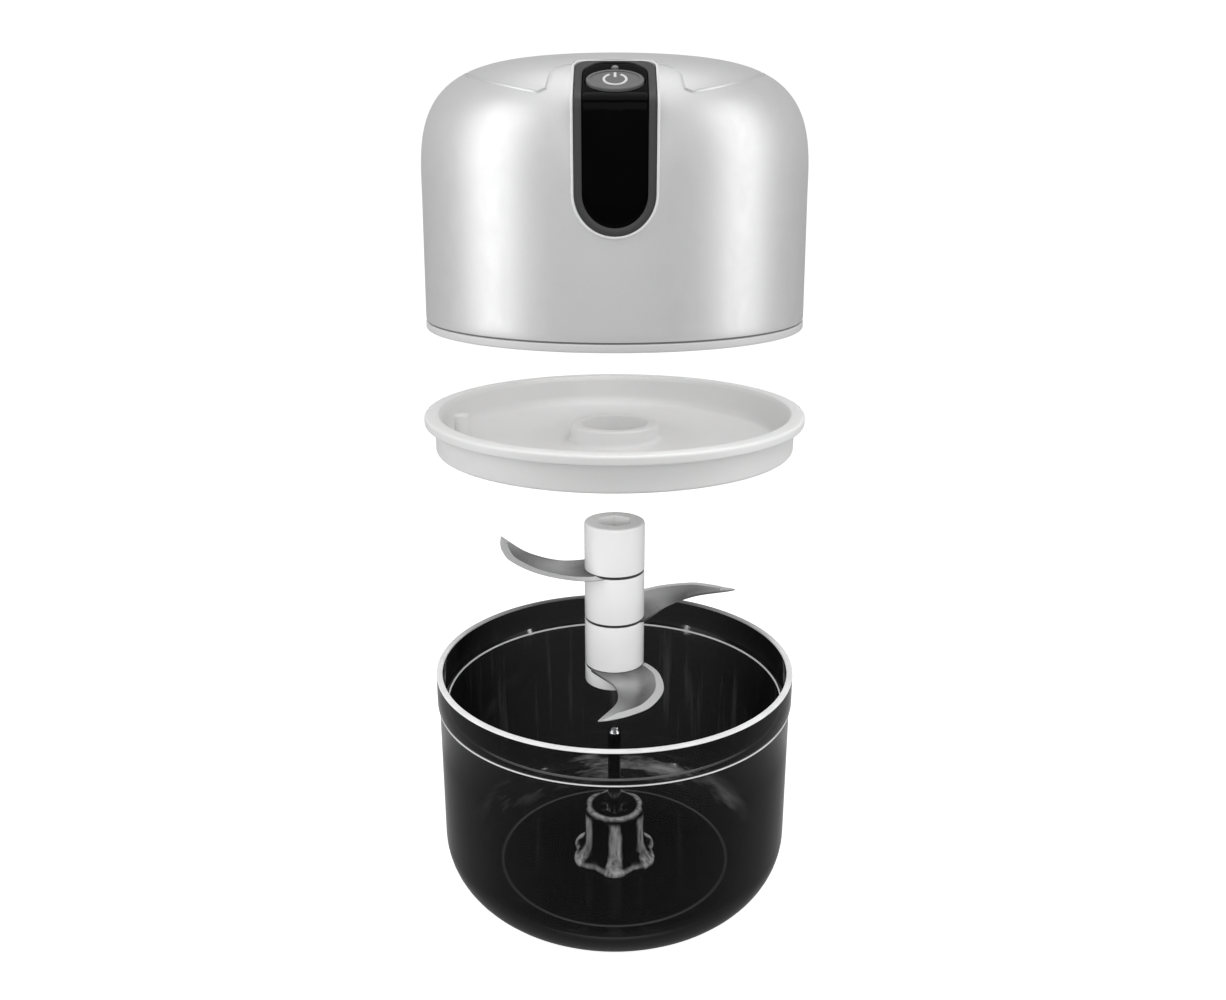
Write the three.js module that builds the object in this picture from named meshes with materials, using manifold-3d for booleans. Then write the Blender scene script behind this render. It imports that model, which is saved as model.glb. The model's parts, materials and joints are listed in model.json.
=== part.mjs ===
// A cordless mini food processor, shown taken apart along its own axis: motor head, inner lid,
// three-blade column and clear bowl. Millimetres, +Z up, origin at the centre of the bowl's base.
import * as THREE from "three";
import { mergeVertices } from "three/addons/utils/BufferGeometryUtils.js";
import Module from "manifold-3d";

const wasm = await Module();
wasm.setup();

// ---- driving dimensions ----
const GAP = 0.3;                 // free play between neighbouring pieces
const ROUND = 36;                // steps round a large turned piece
const SMALL = 12;                // steps round a small turned piece
const TAU = Math.PI * 2;
const DEG = Math.PI / 180;

// bowl
const BOWL_R = 47.6;             // outside of the rim
const BODY_R = 47.1;             // outside of the wall under the rim band
const BOWL_H = 64.5;
const STEP_Z = 55.6;             // underside of the rim band
const WALL = 2.1;
const CORNER_Z = 17;             // where the wall turns into the base
const BASE_R = 29.5;             // flat part of the base
const FLOOR_Z = 4.4;
const POST_TOP = 20;
const POST_R = 8.2;
const POST_FOOT_R = 11.4;
const POST_LOBES = 6;
const PIN_R = 1.8;
const PIN_TOP = 44;
const PIN_FOOT = 8;

// blade column
const COLUMN_R = 7.9;
const COLUMN_Z = 59.6;           // lower end of the column, lifted out
const COLUMN_TOP = 104.4;
const BLADE_Z = [64.4, 77.8, 91.2];
const BLADE_T = 0.9;
const BLADE_TURN = [-97, 12, 158];
const BLADE_RISE = [0, 4.5, 4.5];
const BLADE_R = 33.5;
const CORE_R = 5.6;
const BUSH_R = 3.6;
const SOCKET_R = 4.6;            // corner radius of the six-sided drive socket
const SOCKET_DEPTH = 6.5;

// inner lid
const LID_TOP = 134.2;
const LID_R = 47.2;
const FLANGE_T = 2.3;
const SKIRT_R = 44.7;
const LID_DEPTH = 9.2;
const LID_FLOOR_T = 1.4;
const HUB_R = 11;
const HUB_BORE_R = 8.4;
const HUB_TOP = 130.6;

// motor head; heights below are above the head's underside
const HEAD_Z = 155.4;
const HEAD_H = 60;
const HEAD_FOOT_R = 45.5;
const HEAD_R = 45;
const SHOULDER = 30.6;
const SHELL_T = 2.3;
const SEAM = 1.8;                // height of the lip under the seam
const BASE_T = 3;

// control spine on the front of the head: a face tilted forward, a corner, then an upright face
const SPINE_HALF = 8.05;
const RIM_W = 1.55;              // width of the bezel round the window
const SPINE_T = 2.2;
const SPINE_TILT = 30 * DEG;
const SPINE_START = new THREE.Vector2(-33, 56.9);   // y and height of its upper end
const SPINE_TOP_L = 12.9;        // length of the tilted face
const SPINE_FRONT = -45.9;
const SPINE_FOOT = 23.4;
const BUTTON_AT = 8.4;           // distance of the button down the tilted face
const BUTTON_A = 5.7;
const BUTTON_B = 4.1;
const LED_AT = 2.9;
const LED_R = 0.55;

// drive train
const MODULE = 0.7;
const SUN_TEETH = 12;
const PLANET_TEETH = 15;
const RING_TEETH = 42;
const PLANET_ORBIT = MODULE * (SUN_TEETH + PLANET_TEETH) / 2;
const GEAR_CASE_R = 17.8;
const MOTOR_R = 13.6;
const MOTOR_Z = 22.4;
const MOTOR_H = 28;
const CELL_R = 9;
const CELL_OUT = 27.8;           // distance of a cell's axis from the head's axis
const CELL_TURN = [145, 35];
const SENSE_X = -38.4;           // safety pin, beside the left cell
const SCREW_R = 38.4;
const PORT_Z = 14;
const PORT_W = 13;
const HINGE_Y = 43.6;
const HINGE_Z = 10.6;

// ---- finishes ----
const finish = (color, roughness, metalness = 0, opacity = 1) =>
  new THREE.MeshStandardMaterial({
    color, roughness, metalness, opacity, transparent: opacity < 1,
  });
const PEARL = finish(0xdcdcdd, 0.35);
const WHITE = finish(0xf2f2f2, 0.45);
const CLEAR = finish(0x202224, 0.05, 0, 0.5);
const GLOSS_BLACK = finish(0x050505, 0.06);
const BEZEL_GREY = finish(0x3c3c3e, 0.35);
const BUTTON_GREY = finish(0x6c6d6f, 0.4);
const MARK_WHITE = finish(0xe8e8e8, 0.4);
const STEEL = finish(0xb9bbbe, 0.25, 1);
const DARK_STEEL = finish(0x55585c, 0.4, 1);
const BRASS = finish(0xb98d45, 0.35, 1);
const NYLON = finish(0xe4dfd2, 0.5);
const RUBBER = finish(0x26272a, 0.8);
const BOARD = finish(0x1f6a3c, 0.5);
const CELL_BLUE = finish(0x2d5fa8, 0.4);
const COPPER = finish(0x9a5a34, 0.4, 1);

// ---- shape helpers ----

// a closed three.js geometry as a solid, turned right side out
function solid(geometry) {
  const bare = geometry.index ? geometry.toNonIndexed() : geometry.clone();
  bare.deleteAttribute("normal");
  bare.deleteAttribute("uv");
  const merged = mergeVertices(bare, 1e-3);
  const make = (triVerts) => new wasm.Manifold(new wasm.Mesh({
    numProp: 3,
    vertProperties: merged.attributes.position.array,
    triVerts,
  }));
  const triangles = new Uint32Array(merged.index.array);
  const made = make(triangles);
  return made.volume() < 0 ? make(triangles.reverse()) : made;
}

function geometryOf(body) {
  const mesh = body.getMesh();
  return new THREE.BufferGeometry()
    .setAttribute("position", new THREE.BufferAttribute(new Float32Array(mesh.vertProperties), 3))
    .setIndex(new THREE.BufferAttribute(new Uint32Array(mesh.triVerts), 1));
}

function piece(parent, name, shape, material) {
  const geometry = geometryOf(shape.isBufferGeometry ? solid(shape) : shape);
  const mesh = new THREE.Mesh(geometry, material);
  mesh.name = name;
  parent.add(mesh);
  return mesh;
}

// a profile of [radius, height] pairs turned about the vertical axis
function turned(profile, steps = ROUND) {
  const points = profile.map(([r, z]) => new THREE.Vector2(r, z));
  if (profile[0][0] > 0) points.push(points[0].clone());
  return solid(new THREE.LatheGeometry(points, steps).rotateX(Math.PI / 2));
}

const tube = (outer, inner, low, high, steps = SMALL) =>
  turned([[inner, low], [outer, low], [outer, high], [inner, high]], steps);

const rod = (radius, low, high, steps = SMALL) =>
  turned([[0, low], [radius, low], [radius, high], [0, high]], steps);

// a flat outline raised from low to high
const raised = (shape, low, high, curveSegments = 8) =>
  solid(new THREE.ExtrudeGeometry(shape, {
    depth: high - low, bevelEnabled: false, curveSegments,
  }).translate(0, 0, low));

const block = (x, y, z, cx, cy, cz) => solid(new THREE.BoxGeometry(x, y, z).translate(cx, cy, cz));

const outline = (points) => new THREE.Shape(points.map(([x, y]) => new THREE.Vector2(x, y)));

function polygon(radius, sides, turn = 0) {
  const corner = (k) => turn + k * TAU / sides;
  return outline(Array.from({ length: sides }, (_, k) =>
    [radius * Math.cos(corner(k)), radius * Math.sin(corner(k))]));
}

const oval = (a, b) => new THREE.Shape().absellipse(0, 0, a, b, 0, TAU);

// ---- bowl ----

function bowlBody() {
  const inner = BODY_R - WALL;
  const corner = (outR, outZ, flatR, flatZ) => Array.from({ length: 7 }, (_, k) => {
    const a = Math.PI / 2 * k / 6;
    return [flatR + (outR - flatR) * Math.sin(a), outZ - (outZ - flatZ) * Math.cos(a)];
  });
  const profile = [
    [0, 0],
    ...corner(BODY_R, CORNER_Z, BASE_R, 0),
    [BODY_R, STEP_Z],
    [BOWL_R, STEP_Z + 0.6],
    [BOWL_R, BOWL_H - 0.4],
    [BOWL_R - 0.4, BOWL_H],
    [BOWL_R - 1.6, BOWL_H],
    [inner + 0.5, STEP_Z + 0.6],
    [inner, STEP_Z],
    ...corner(inner, CORNER_Z + 2, BASE_R + 2, FLOOR_Z).reverse(),
    [0, FLOOR_Z],
  ];
  return turned(profile);
}

// the fluted post that the blade column stands on
function post() {
  const heights = [
    [0.5, POST_FOOT_R], [FLOOR_Z + 0.4, POST_FOOT_R], [FLOOR_Z + 2.4, POST_R + 1],
    [FLOOR_Z + 4.6, POST_R], [POST_TOP - 0.8, POST_R], [POST_TOP, POST_R - 0.6],
  ];
  const points = [[0, 0.5], ...heights.map(([z, r]) => [r, z]), [0, POST_TOP]];
  const geometry = new THREE.LatheGeometry(
    points.map(([r, z]) => new THREE.Vector2(r, z)), POST_LOBES * 4);
  const at = geometry.attributes.position;
  for (let i = 0; i < at.count; i++) {
    const turn = Math.atan2(at.getZ(i), at.getX(i));
    const flute = 1 - 0.07 * Math.cos(POST_LOBES * turn);
    at.setXYZ(i, at.getX(i) * flute, at.getY(i), at.getZ(i) * flute);
  }
  return solid(geometry.rotateX(Math.PI / 2));
}

function addBowl(group) {
  const bore = rod(PIN_R + GAP, PIN_FOOT - GAP, POST_TOP + 1);
  piece(group, "bowl", bowlBody().add(post()).subtract(bore), CLEAR);
  piece(group, "centre_pin", turned([
    [0, PIN_FOOT], [PIN_R, PIN_FOOT], [PIN_R, PIN_TOP - 1], [PIN_R - 0.9, PIN_TOP], [0, PIN_TOP],
  ], SMALL), STEEL);
}

// ---- blade column ----

// edges in plan, each point a radius and an angle in degrees from the tip
const LEADING = [[9, 88], [14, 65], [21, 43.5], [27, 26.5], [30, 15], [32, 6.5]];
const TRAILING = [[32, 1], [25, 7.5], [20, 9.5], [16, 8], [13, 2], [8.6, -38]];
const EDGE_STEPS = 10;

function bladeShape() {
  const place = ([r, a]) => new THREE.Vector2(r * Math.cos(a * DEG), r * Math.sin(a * DEG));
  const edge = (points) => new THREE.SplineCurve(points.map(place)).getPoints(EDGE_STEPS);
  return new THREE.Shape([...edge(LEADING), place([BLADE_R, 0]), ...edge(TRAILING)]);
}

function blade(index) {
  const z = BLADE_Z[index];
  const low = z - BLADE_T / 2;
  const arm = raised(bladeShape(), low, low + BLADE_T);
  const ring = rod(COLUMN_R - 0.1, low, low + BLADE_T, 24);
  const hole = raised(polygon(CORE_R + GAP, 6), low - 1, low + BLADE_T + 1);
  const rise = BLADE_RISE[index];
  const plate = arm.add(ring).refineToLength(6);
  const bent = plate.warp((v) => {
    const out = Math.max(0, Math.hypot(v[0], v[1]) - COLUMN_R - 1) / (BLADE_R - COLUMN_R - 1);
    v[2] += rise * out ** 1.4;
  });
  return bent.rotate([0, 0, BLADE_TURN[index]]).subtract(hole);
}

// a round sleeve with a six-sided bore, between two blades
const spacer = (low, high, bore = CORE_R + GAP) =>
  rod(COLUMN_R, low, high, 24).subtract(raised(polygon(bore, 6), low - 1, high + 1));

function addBlades(group) {
  const half = BLADE_T / 2 + GAP;
  const [first, second, third] = BLADE_Z;
  const names = ["lower_blade", "middle_blade", "upper_blade"];
  names.forEach((name, k) => piece(group, name, blade(k), STEEL));
  piece(group, "column_foot", spacer(COLUMN_Z, first - half), WHITE);
  piece(group, "column_lower", spacer(first + half, second - half), WHITE);
  piece(group, "column_middle", spacer(second + half, third - half), WHITE);
  const socketFloor = COLUMN_TOP - SOCKET_DEPTH;
  const cap = turned([
    [0, third + half], [COLUMN_R, third + half], [COLUMN_R, COLUMN_TOP - 0.8],
    [COLUMN_R - 0.8, COLUMN_TOP], [0, COLUMN_TOP],
  ], 24);
  const coreRoom = raised(polygon(CORE_R + GAP, 6), third, socketFloor - 2);
  const socket = raised(polygon(SOCKET_R, 6), socketFloor, COLUMN_TOP + 1);
  piece(group, "column_top", cap.subtract(coreRoom).subtract(socket), WHITE);
  const core = raised(polygon(CORE_R, 6), COLUMN_Z, socketFloor - 2 - GAP);
  const bore = rod(BUSH_R + GAP, COLUMN_Z - 1, COLUMN_Z + 32);
  piece(group, "column_core", core.subtract(bore), NYLON);
}

function addBush(group) {
  piece(group, "bearing_bush", tube(BUSH_R, PIN_R + GAP, COLUMN_Z, COLUMN_Z + 30), NYLON);
}

// ---- inner lid ----

function addLid(group) {
  const under = LID_TOP - FLANGE_T;
  const foot = LID_TOP - LID_DEPTH;
  const floor = foot + LID_FLOOR_T;
  const wall = SKIRT_R - 1.7;
  const profile = [
    [HUB_BORE_R, foot], [SKIRT_R - 0.5, foot], [SKIRT_R, foot + 0.6], [SKIRT_R, under],
    [LID_R - 0.5, under], [LID_R, under + 0.7], [LID_R, LID_TOP - 0.7], [LID_R - 0.6, LID_TOP],
    [wall + 0.8, LID_TOP], [wall, LID_TOP - 1], [wall - 0.4, floor + 1], [wall - 1.4, floor],
    [HUB_R, floor], [HUB_R, HUB_TOP - 0.6], [HUB_R - 0.7, HUB_TOP], [HUB_BORE_R + 0.6, HUB_TOP],
    [HUB_BORE_R, HUB_TOP - 0.6],
  ];
  // the peg that presses the head's safety pin, and two locating notches in the flange
  const peg = rod(2, foot + 0.4, LID_TOP - 1.6, 10).translate([SENSE_X, 0, 0]);
  let lid = turned(profile).add(peg);
  for (const side of [-1, 1])
    lid = lid.subtract(block(1.6, 3.4, 2, side * (LID_R - 0.3), 0, LID_TOP));
  piece(group, "inner_lid", lid, WHITE);
}

// ---- motor head ----

// radius of the head's outside at a height: a drafted wall, then a rounded shoulder
function headRadius(height) {
  if (height <= SHOULDER) return HEAD_FOOT_R + (HEAD_R - HEAD_FOOT_R) * height / SHOULDER;
  const up = Math.min(1, (height - SHOULDER) / (HEAD_H - SHOULDER));
  return HEAD_R * Math.sqrt(Math.cos(Math.asin(up ** 1.6)));
}

function shellProfile() {
  const turn = (t) => SHOULDER + (HEAD_H - SHOULDER) * Math.sin(t) ** 0.625;
  const outside = [[HEAD_FOOT_R, SEAM + GAP], [headRadius(16), 16], [HEAD_R, SHOULDER]];
  for (const degrees of [6, 15, 25, 37, 50, 62, 74, 84]) {
    const height = turn(degrees * DEG);
    outside.push([headRadius(height), height]);
  }
  const shrink = (HEAD_R - SHELL_T) / HEAD_R;
  const lower = (z) => z - SHELL_T * Math.max(0, z - SHOULDER) / (HEAD_H - SHOULDER);
  const inside = outside.map(([r, z]) => [r * shrink, lower(z)]);
  return [
    ...outside, [0, HEAD_H], [0, HEAD_H - SHELL_T], ...inside.reverse(),
  ];
}

// side view of the spine: points from its upper end to its foot, set in by a depth and
// starting a lead further up the slope
function spineLine(depth, lead) {
  const c = Math.cos(SPINE_TILT);
  const s = Math.sin(SPINE_TILT);
  const start = [SPINE_START.x + depth * s + lead * c, SPINE_START.y - depth * c + lead * s];
  const reach = SPINE_TOP_L + lead - depth * 0.27;
  const knee = [start[0] - reach * c, start[1] - reach * s];
  const front = SPINE_FRONT + depth;
  const bend = [front - (front - knee[0]) * 0.25, knee[1] - 1.1];
  return [start, knee, bend, [front, knee[1] - 2.8], [front, 0]];
}

// the spine's volume from its face, or proud of it, down to a depth
function spine(half, foot, depth, proud = 0, lead = 0) {
  const line = [...spineLine(-proud, lead), ...spineLine(depth, lead).reverse()];
  const side = raised(outline(line), -half, half);
  const band = side.rotate([90, 0, 90]);
  const plan = new THREE.Shape();
  plan.absarc(0, foot + half, half, Math.PI, TAU);
  plan.lineTo(half, HEAD_H);
  plan.lineTo(-half, HEAD_H);
  const mask = raised(plan, 20, 60, 10).rotate([90, 0, 0]);
  return band.intersect(mask);
}

// a frame on the spine's tilted face, z outwards, y up the slope
function faceFrame(parent, distance) {
  const frame = new THREE.Group();
  frame.position.set(
    0,
    SPINE_START.x - distance * Math.cos(SPINE_TILT),
    SPINE_START.y - distance * Math.sin(SPINE_TILT),
  );
  frame.rotation.x = SPINE_TILT;
  parent.add(frame);
  return frame;
}

// a solid given in that frame, moved to the head's frame
function onFace(body, distance) {
  const y = SPINE_START.x - distance * Math.cos(SPINE_TILT);
  const z = SPINE_START.y - distance * Math.sin(SPINE_TILT);
  return body.rotate([SPINE_TILT / DEG, 0, 0]).translate([0, y, z]);
}

const corners = [60, 120, 240, 300].map((a) => a * DEG);
const screwPlaces = corners.map((a) => [SCREW_R * Math.cos(a), SCREW_R * Math.sin(a)]);

function addShell(group) {
  let shell = turned(shellProfile());
  for (const [x, y] of screwPlaces)
    shell = shell.add(rod(3.4, 6, 24, 12).translate([x * 1.035, y * 1.035, 0]));
  for (const [x, y] of screwPlaces)
    shell = shell.subtract(rod(1.5, 5, 16, 10).translate([x, y, 0]));
  const slot = spine(SPINE_HALF + GAP, SPINE_FOOT - GAP, 6, 6, GAP);
  const port = block(PORT_W, 8, 10, 0, 44, PORT_Z - 0.2);
  const hingeHole = rod(0.75, -8, 8, 10).rotate([0, 90, 0]).translate([0, HINGE_Y, HINGE_Z]);
  shell = shell.subtract(slot).subtract(port).subtract(hingeHole);
  piece(group, "head_shell", shell, PEARL);
}

function addBase(group) {
  const spigot = HEAD_R - SHELL_T - 0.6;
  let base = turned([
    [9.6, 0], [HEAD_FOOT_R - 0.4, 0], [HEAD_FOOT_R, 0.4], [HEAD_FOOT_R, SEAM],
    [spigot, SEAM], [spigot, BASE_T + 1.6], [spigot - 1.6, BASE_T + 1.6], [spigot - 1.6, BASE_T],
    [9.6, BASE_T],
  ]);
  for (const [x, y] of screwPlaces) {
    base = base.subtract(rod(1.6, -1, 5, 10).translate([x, y, 0]));
    base = base.subtract(rod(2.7, -1, 1.7, 10).translate([x, y, 0]));
    base = base.subtract(rod(3.8, BASE_T, 8, 12).translate([x * 1.035, y * 1.035, 0]));
  }
  base = base.subtract(rod(1.65, -1, 5, 10).translate([SENSE_X, 0, 0]));
  piece(group, "head_base", base, WHITE);
  screwPlaces.forEach(([x, y], k) => {
    const screw = turned([
      [0, 0.1], [2.3, 0.1], [2.3, 1.4], [1.2, 1.4], [1.2, 12], [0, 13],
    ], 10);
    piece(group, `base_screw_${k + 1}`, screw.translate([x, y, 0]), STEEL);
  });
}

function addSpine(group) {
  const whole = spine(SPINE_HALF, SPINE_FOOT, SPINE_T);
  const inner = SPINE_HALF - RIM_W;
  const opening = spine(inner, SPINE_FOOT + RIM_W, 5, 5, -RIM_W);
  piece(group, "window_bezel", whole.subtract(opening), BEZEL_GREY);
  const body = spine(inner - GAP, SPINE_FOOT + RIM_W + GAP, SPINE_T - 0.2, 0, -RIM_W - GAP);
  const buttonHole = onFace(raised(oval(BUTTON_A + GAP, BUTTON_B + GAP), -6, 3), BUTTON_AT);
  const ledHole = onFace(rod(LED_R + 0.2, -6, 3, 10), LED_AT);
  const panel = body.subtract(buttonHole).subtract(ledHole);
  piece(group, "window_panel", panel, GLOSS_BLACK);
}

function addControls(group) {
  const face = faceFrame(group, BUTTON_AT);
  const markRoom = raised(polygon(3.1, 20), -0.15, 1);
  const cap = raised(oval(BUTTON_A, BUTTON_B), -1.7, 0.3).subtract(markRoom);
  const stem = rod(1.6, -3.2, -1.5, 12);
  piece(face, "power_button", cap.add(stem), BUTTON_GREY);
  // the usual power sign: an open ring round a bar
  const ring = new THREE.Shape();
  ring.absarc(0, 0, 2.5, 120 * DEG, 420 * DEG);
  ring.absarc(0, 0, 1.95, 420 * DEG, 120 * DEG, true);
  piece(face, "power_mark_ring", raised(ring, 0.1, 0.35), MARK_WHITE);
  piece(face, "power_mark_bar", block(0.5, 1.7, 0.25, 0, 1.75, 0.225), MARK_WHITE);
  piece(face, "button_dome", rod(1.9, -4.4, -3.8, 12), STEEL);
  piece(face, "tact_switch", block(6, 6, 3, 0, 0, -6.3), RUBBER);
  piece(face, "control_board", block(14, 12, 1.2, 0, 1.5, -8.8), BOARD);
  const lamp = faceFrame(group, LED_AT);
  piece(lamp, "led_lens", rod(LED_R, -2.6, 0.15, 10), MARK_WHITE);
}

function addPort(group) {
  piece(group, "usb_socket", block(9, 7.4, 3.4, 0, 37.6, PORT_Z + 0.6)
    .subtract(block(7.6, 6, 2.2, 0, 39, PORT_Z + 0.6)), STEEL);
  piece(group, "charge_board", block(16, 1.6, 22, 0, 32.7, PORT_Z + 5), BOARD);
  const across = (r, half) => rod(r, -half, half, 12).rotate([0, 90, 0])
    .translate([0, HINGE_Y, HINGE_Z]);
  const eye = across(1.15, 5.8);
  const flap = block(11.6, 1.3, 7.2, 0, HINGE_Y + 0.5, PORT_Z + 0.6);
  const bore = across(0.75, 8);
  piece(group, "port_cover", flap.add(eye).subtract(bore), RUBBER);
  piece(group, "port_cover_pin", across(0.45, 7.4), STEEL);
}

// one spur gear's outline; a tooth stands on the angle given
function gearShape(teeth, turn, inside = false) {
  const pitch = MODULE * teeth / 2;
  const root = pitch + (inside ? 1.15 : -1.15) * MODULE;
  const tip = pitch + (inside ? -0.75 : 0.75) * MODULE;
  const step = TAU / teeth;
  const points = [];
  for (let k = 0; k < teeth; k++) {
    const at = turn + k * step;
    for (const [r, share] of [[root, -0.3], [tip, -0.11], [tip, 0.11], [root, 0.3]])
      points.push([r * Math.cos(at + share * step), r * Math.sin(at + share * step)]);
  }
  return outline(points);
}

function addGearbox(group) {
  const low = 10.4;
  const high = 20;
  const ringCase = polygon(GEAR_CASE_R, 28);
  ringCase.holes.push(gearShape(RING_TEETH, Math.PI / RING_TEETH, true));
  piece(group, "ring_gear", raised(ringCase, low, high), NYLON);
  piece(group, "gearbox_cover", tube(GEAR_CASE_R, 4.9, 8.2, low - GAP, 28), NYLON);
  piece(group, "motor_mount", tube(GEAR_CASE_R, 4.3, high + GAP, 22, 28), DARK_STEEL);

  const carrierTop = low + 2;
  const coupler = raised(polygon(SOCKET_R - 0.4, 6), -6.5, 0).add(rod(4, -0.5, 8, SMALL * 1.5));
  const shaftRoom = rod(2.2, -4, 9, 12);
  piece(group, "drive_coupler", coupler.subtract(shaftRoom), WHITE);
  let carrier = rod(12.4, low, carrierTop, 24).add(rod(1.9, -3.6, low + 0.5, 12));
  for (let k = 0; k < 3; k++) {
    const a = k * TAU / 3;
    carrier = carrier.add(rod(1.2, low, 19.4, 10)
      .translate([PLANET_ORBIT * Math.cos(a), PLANET_ORBIT * Math.sin(a), 0]));
  }
  piece(group, "planet_carrier", carrier, STEEL);
  const gearLow = carrierTop + GAP;
  const gearHigh = gearLow + 6;
  for (let k = 0; k < 3; k++) {
    const a = k * TAU / 3;
    const planet = raised(gearShape(PLANET_TEETH, a), gearLow, gearHigh)
      .subtract(rod(1.5, gearLow - 1, gearHigh + 1, 12));
    piece(group, `planet_gear_${k + 1}`,
      planet.translate([PLANET_ORBIT * Math.cos(a), PLANET_ORBIT * Math.sin(a), 0]), NYLON);
  }
  const sun = raised(gearShape(SUN_TEETH, 0), gearLow, gearHigh)
    .subtract(rod(1.3, gearLow - 1, gearHigh + 1, 12));
  piece(group, "sun_gear", sun, BRASS);
  piece(group, "output_bushing", tube(9.2, 4.3, 0.3, 4.6, 24), BRASS);
  piece(group, "shaft_seal", tube(8.6, 4.3, 4.9, 7.4, 24), RUBBER);
}

function addMotor(group) {
  const top = MOTOR_Z + MOTOR_H;
  const can = turned([
    [2.2, MOTOR_Z], [MOTOR_R, MOTOR_Z], [MOTOR_R, top], [MOTOR_R - 1, top],
    [MOTOR_R - 1, MOTOR_Z + 1.2], [2.2, MOTOR_Z + 1.2],
  ], 28);
  piece(group, "motor_can", can, STEEL);
  piece(group, "motor_end_cap", tube(MOTOR_R - 0.4, 1.5, top + GAP, top + 2.4, 28), WHITE);
  for (const [side, name] of [[-1, "left"], [1, "right"]]) {
    const arc = new THREE.Shape();
    const span = 62 * DEG;
    const middle = side > 0 ? 0 : Math.PI;
    arc.absarc(0, 0, MOTOR_R - 1.3, middle - span, middle + span);
    arc.absarc(0, 0, MOTOR_R - 4, middle + span, middle - span, true);
    piece(group, `motor_magnet_${name}`, raised(arc, MOTOR_Z + 4, top - 4, 6), RUBBER);
    piece(group, `motor_terminal_${name}`,
      block(0.6, 2.6, 3.4, side * 7, 0, top + 2.4 + GAP + 1.7), BRASS);
  }
  const rotor = tube(9.2, 1.3, MOTOR_Z + 5, top - 6, 18);
  let poles = rotor;
  for (let k = 0; k < 3; k++)
    poles = poles.subtract(block(3, 2, 40, 8.6, 0, MOTOR_Z + 15).rotate([0, 0, 60 + 120 * k]));
  piece(group, "motor_rotor", poles, COPPER);
  piece(group, "motor_shaft", rod(1, 13.2, top + 2.6, 12), STEEL);
}

function addPower(group) {
  for (const [turn, name] of [[CELL_TURN[0], "left"], [CELL_TURN[1], "right"]]) {
    const cell = turned([
      [0, 8], [CELL_R, 8], [CELL_R, 43], [CELL_R - 1, 43.6], [3, 43.6], [3, 44.6], [0, 44.6],
    ], 20).translate([CELL_OUT, 0, 0]);
    piece(group, `battery_cell_${name}`, cell.rotate([0, 0, turn]), CELL_BLUE);
    const clip = new THREE.Shape();
    const span = 75 * DEG;
    clip.absarc(CELL_OUT, 0, CELL_R + 1.8, -span, span);
    clip.absarc(CELL_OUT, 0, CELL_R + GAP, span, -span, true);
    piece(group, `battery_clip_${name}`, raised(clip, 16, 34, 8).rotate([0, 0, turn]), WHITE);
  }
}

function addSafety(group) {
  const pin = rod(1.3, -1.2, 4.4, 12).add(rod(1.95, 3.3, 4.4, 12)).translate([SENSE_X, 0, 0]);
  piece(group, "safety_pin", pin, WHITE);
  piece(group, "safety_spring", tube(1.85, 1.2, 4.8, 9.4, 12).translate([SENSE_X, 0, 0]), STEEL);
  piece(group, "safety_switch", block(5.2, 7.5, 5.5, SENSE_X, 0, 12.6), RUBBER);
}

// ---- the whole object ----
const group = new THREE.Group();
addBowl(group);
addBush(group);
addBlades(group);
addLid(group);

const head = new THREE.Group();
head.position.z = HEAD_Z;
group.add(head);
addShell(head);
addBase(head);
addSpine(head);
addControls(head);
addPort(head);
addGearbox(head);
addMotor(head);
addPower(head);
addSafety(head);

export default group;
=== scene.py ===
"""Looks of the mini food processor: motor head, inner lid, blade column and clear bowl."""
import json
import math

import bmesh
import bpy
from mathutils import Matrix, Vector

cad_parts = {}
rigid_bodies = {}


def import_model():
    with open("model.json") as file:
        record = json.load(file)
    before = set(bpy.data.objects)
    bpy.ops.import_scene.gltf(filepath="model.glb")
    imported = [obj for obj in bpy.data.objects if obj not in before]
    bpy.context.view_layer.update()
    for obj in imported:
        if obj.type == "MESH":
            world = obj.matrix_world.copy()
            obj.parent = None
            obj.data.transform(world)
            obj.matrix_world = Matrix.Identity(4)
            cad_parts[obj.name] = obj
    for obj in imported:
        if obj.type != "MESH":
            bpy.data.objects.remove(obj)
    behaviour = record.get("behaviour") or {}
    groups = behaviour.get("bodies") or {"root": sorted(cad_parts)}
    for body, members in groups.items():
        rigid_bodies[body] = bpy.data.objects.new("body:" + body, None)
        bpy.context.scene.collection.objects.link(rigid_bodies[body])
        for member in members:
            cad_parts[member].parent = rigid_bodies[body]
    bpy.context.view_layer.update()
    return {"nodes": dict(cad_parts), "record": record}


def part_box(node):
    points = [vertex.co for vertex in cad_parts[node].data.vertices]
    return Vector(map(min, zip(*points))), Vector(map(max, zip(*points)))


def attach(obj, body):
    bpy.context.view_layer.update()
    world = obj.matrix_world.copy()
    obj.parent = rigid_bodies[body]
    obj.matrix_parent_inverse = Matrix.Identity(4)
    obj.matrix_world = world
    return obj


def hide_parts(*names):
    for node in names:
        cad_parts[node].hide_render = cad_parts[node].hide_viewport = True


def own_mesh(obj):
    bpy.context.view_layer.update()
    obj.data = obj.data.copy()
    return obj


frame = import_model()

# ---- sizes, in millimetres, in the frame of the model ----
MM = 0.001
TAU = 2 * math.pi
STEPS = 224                     # steps round a large turned piece
SMALL_STEPS = 72                # steps round a small turned piece
PLAY = 0.3                      # gap between neighbouring pieces


def low(node):
    """Lowest corner of a CAD node."""
    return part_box(node)[0] / MM


def high(node):
    """Highest corner of a CAD node."""
    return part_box(node)[1] / MM


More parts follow.
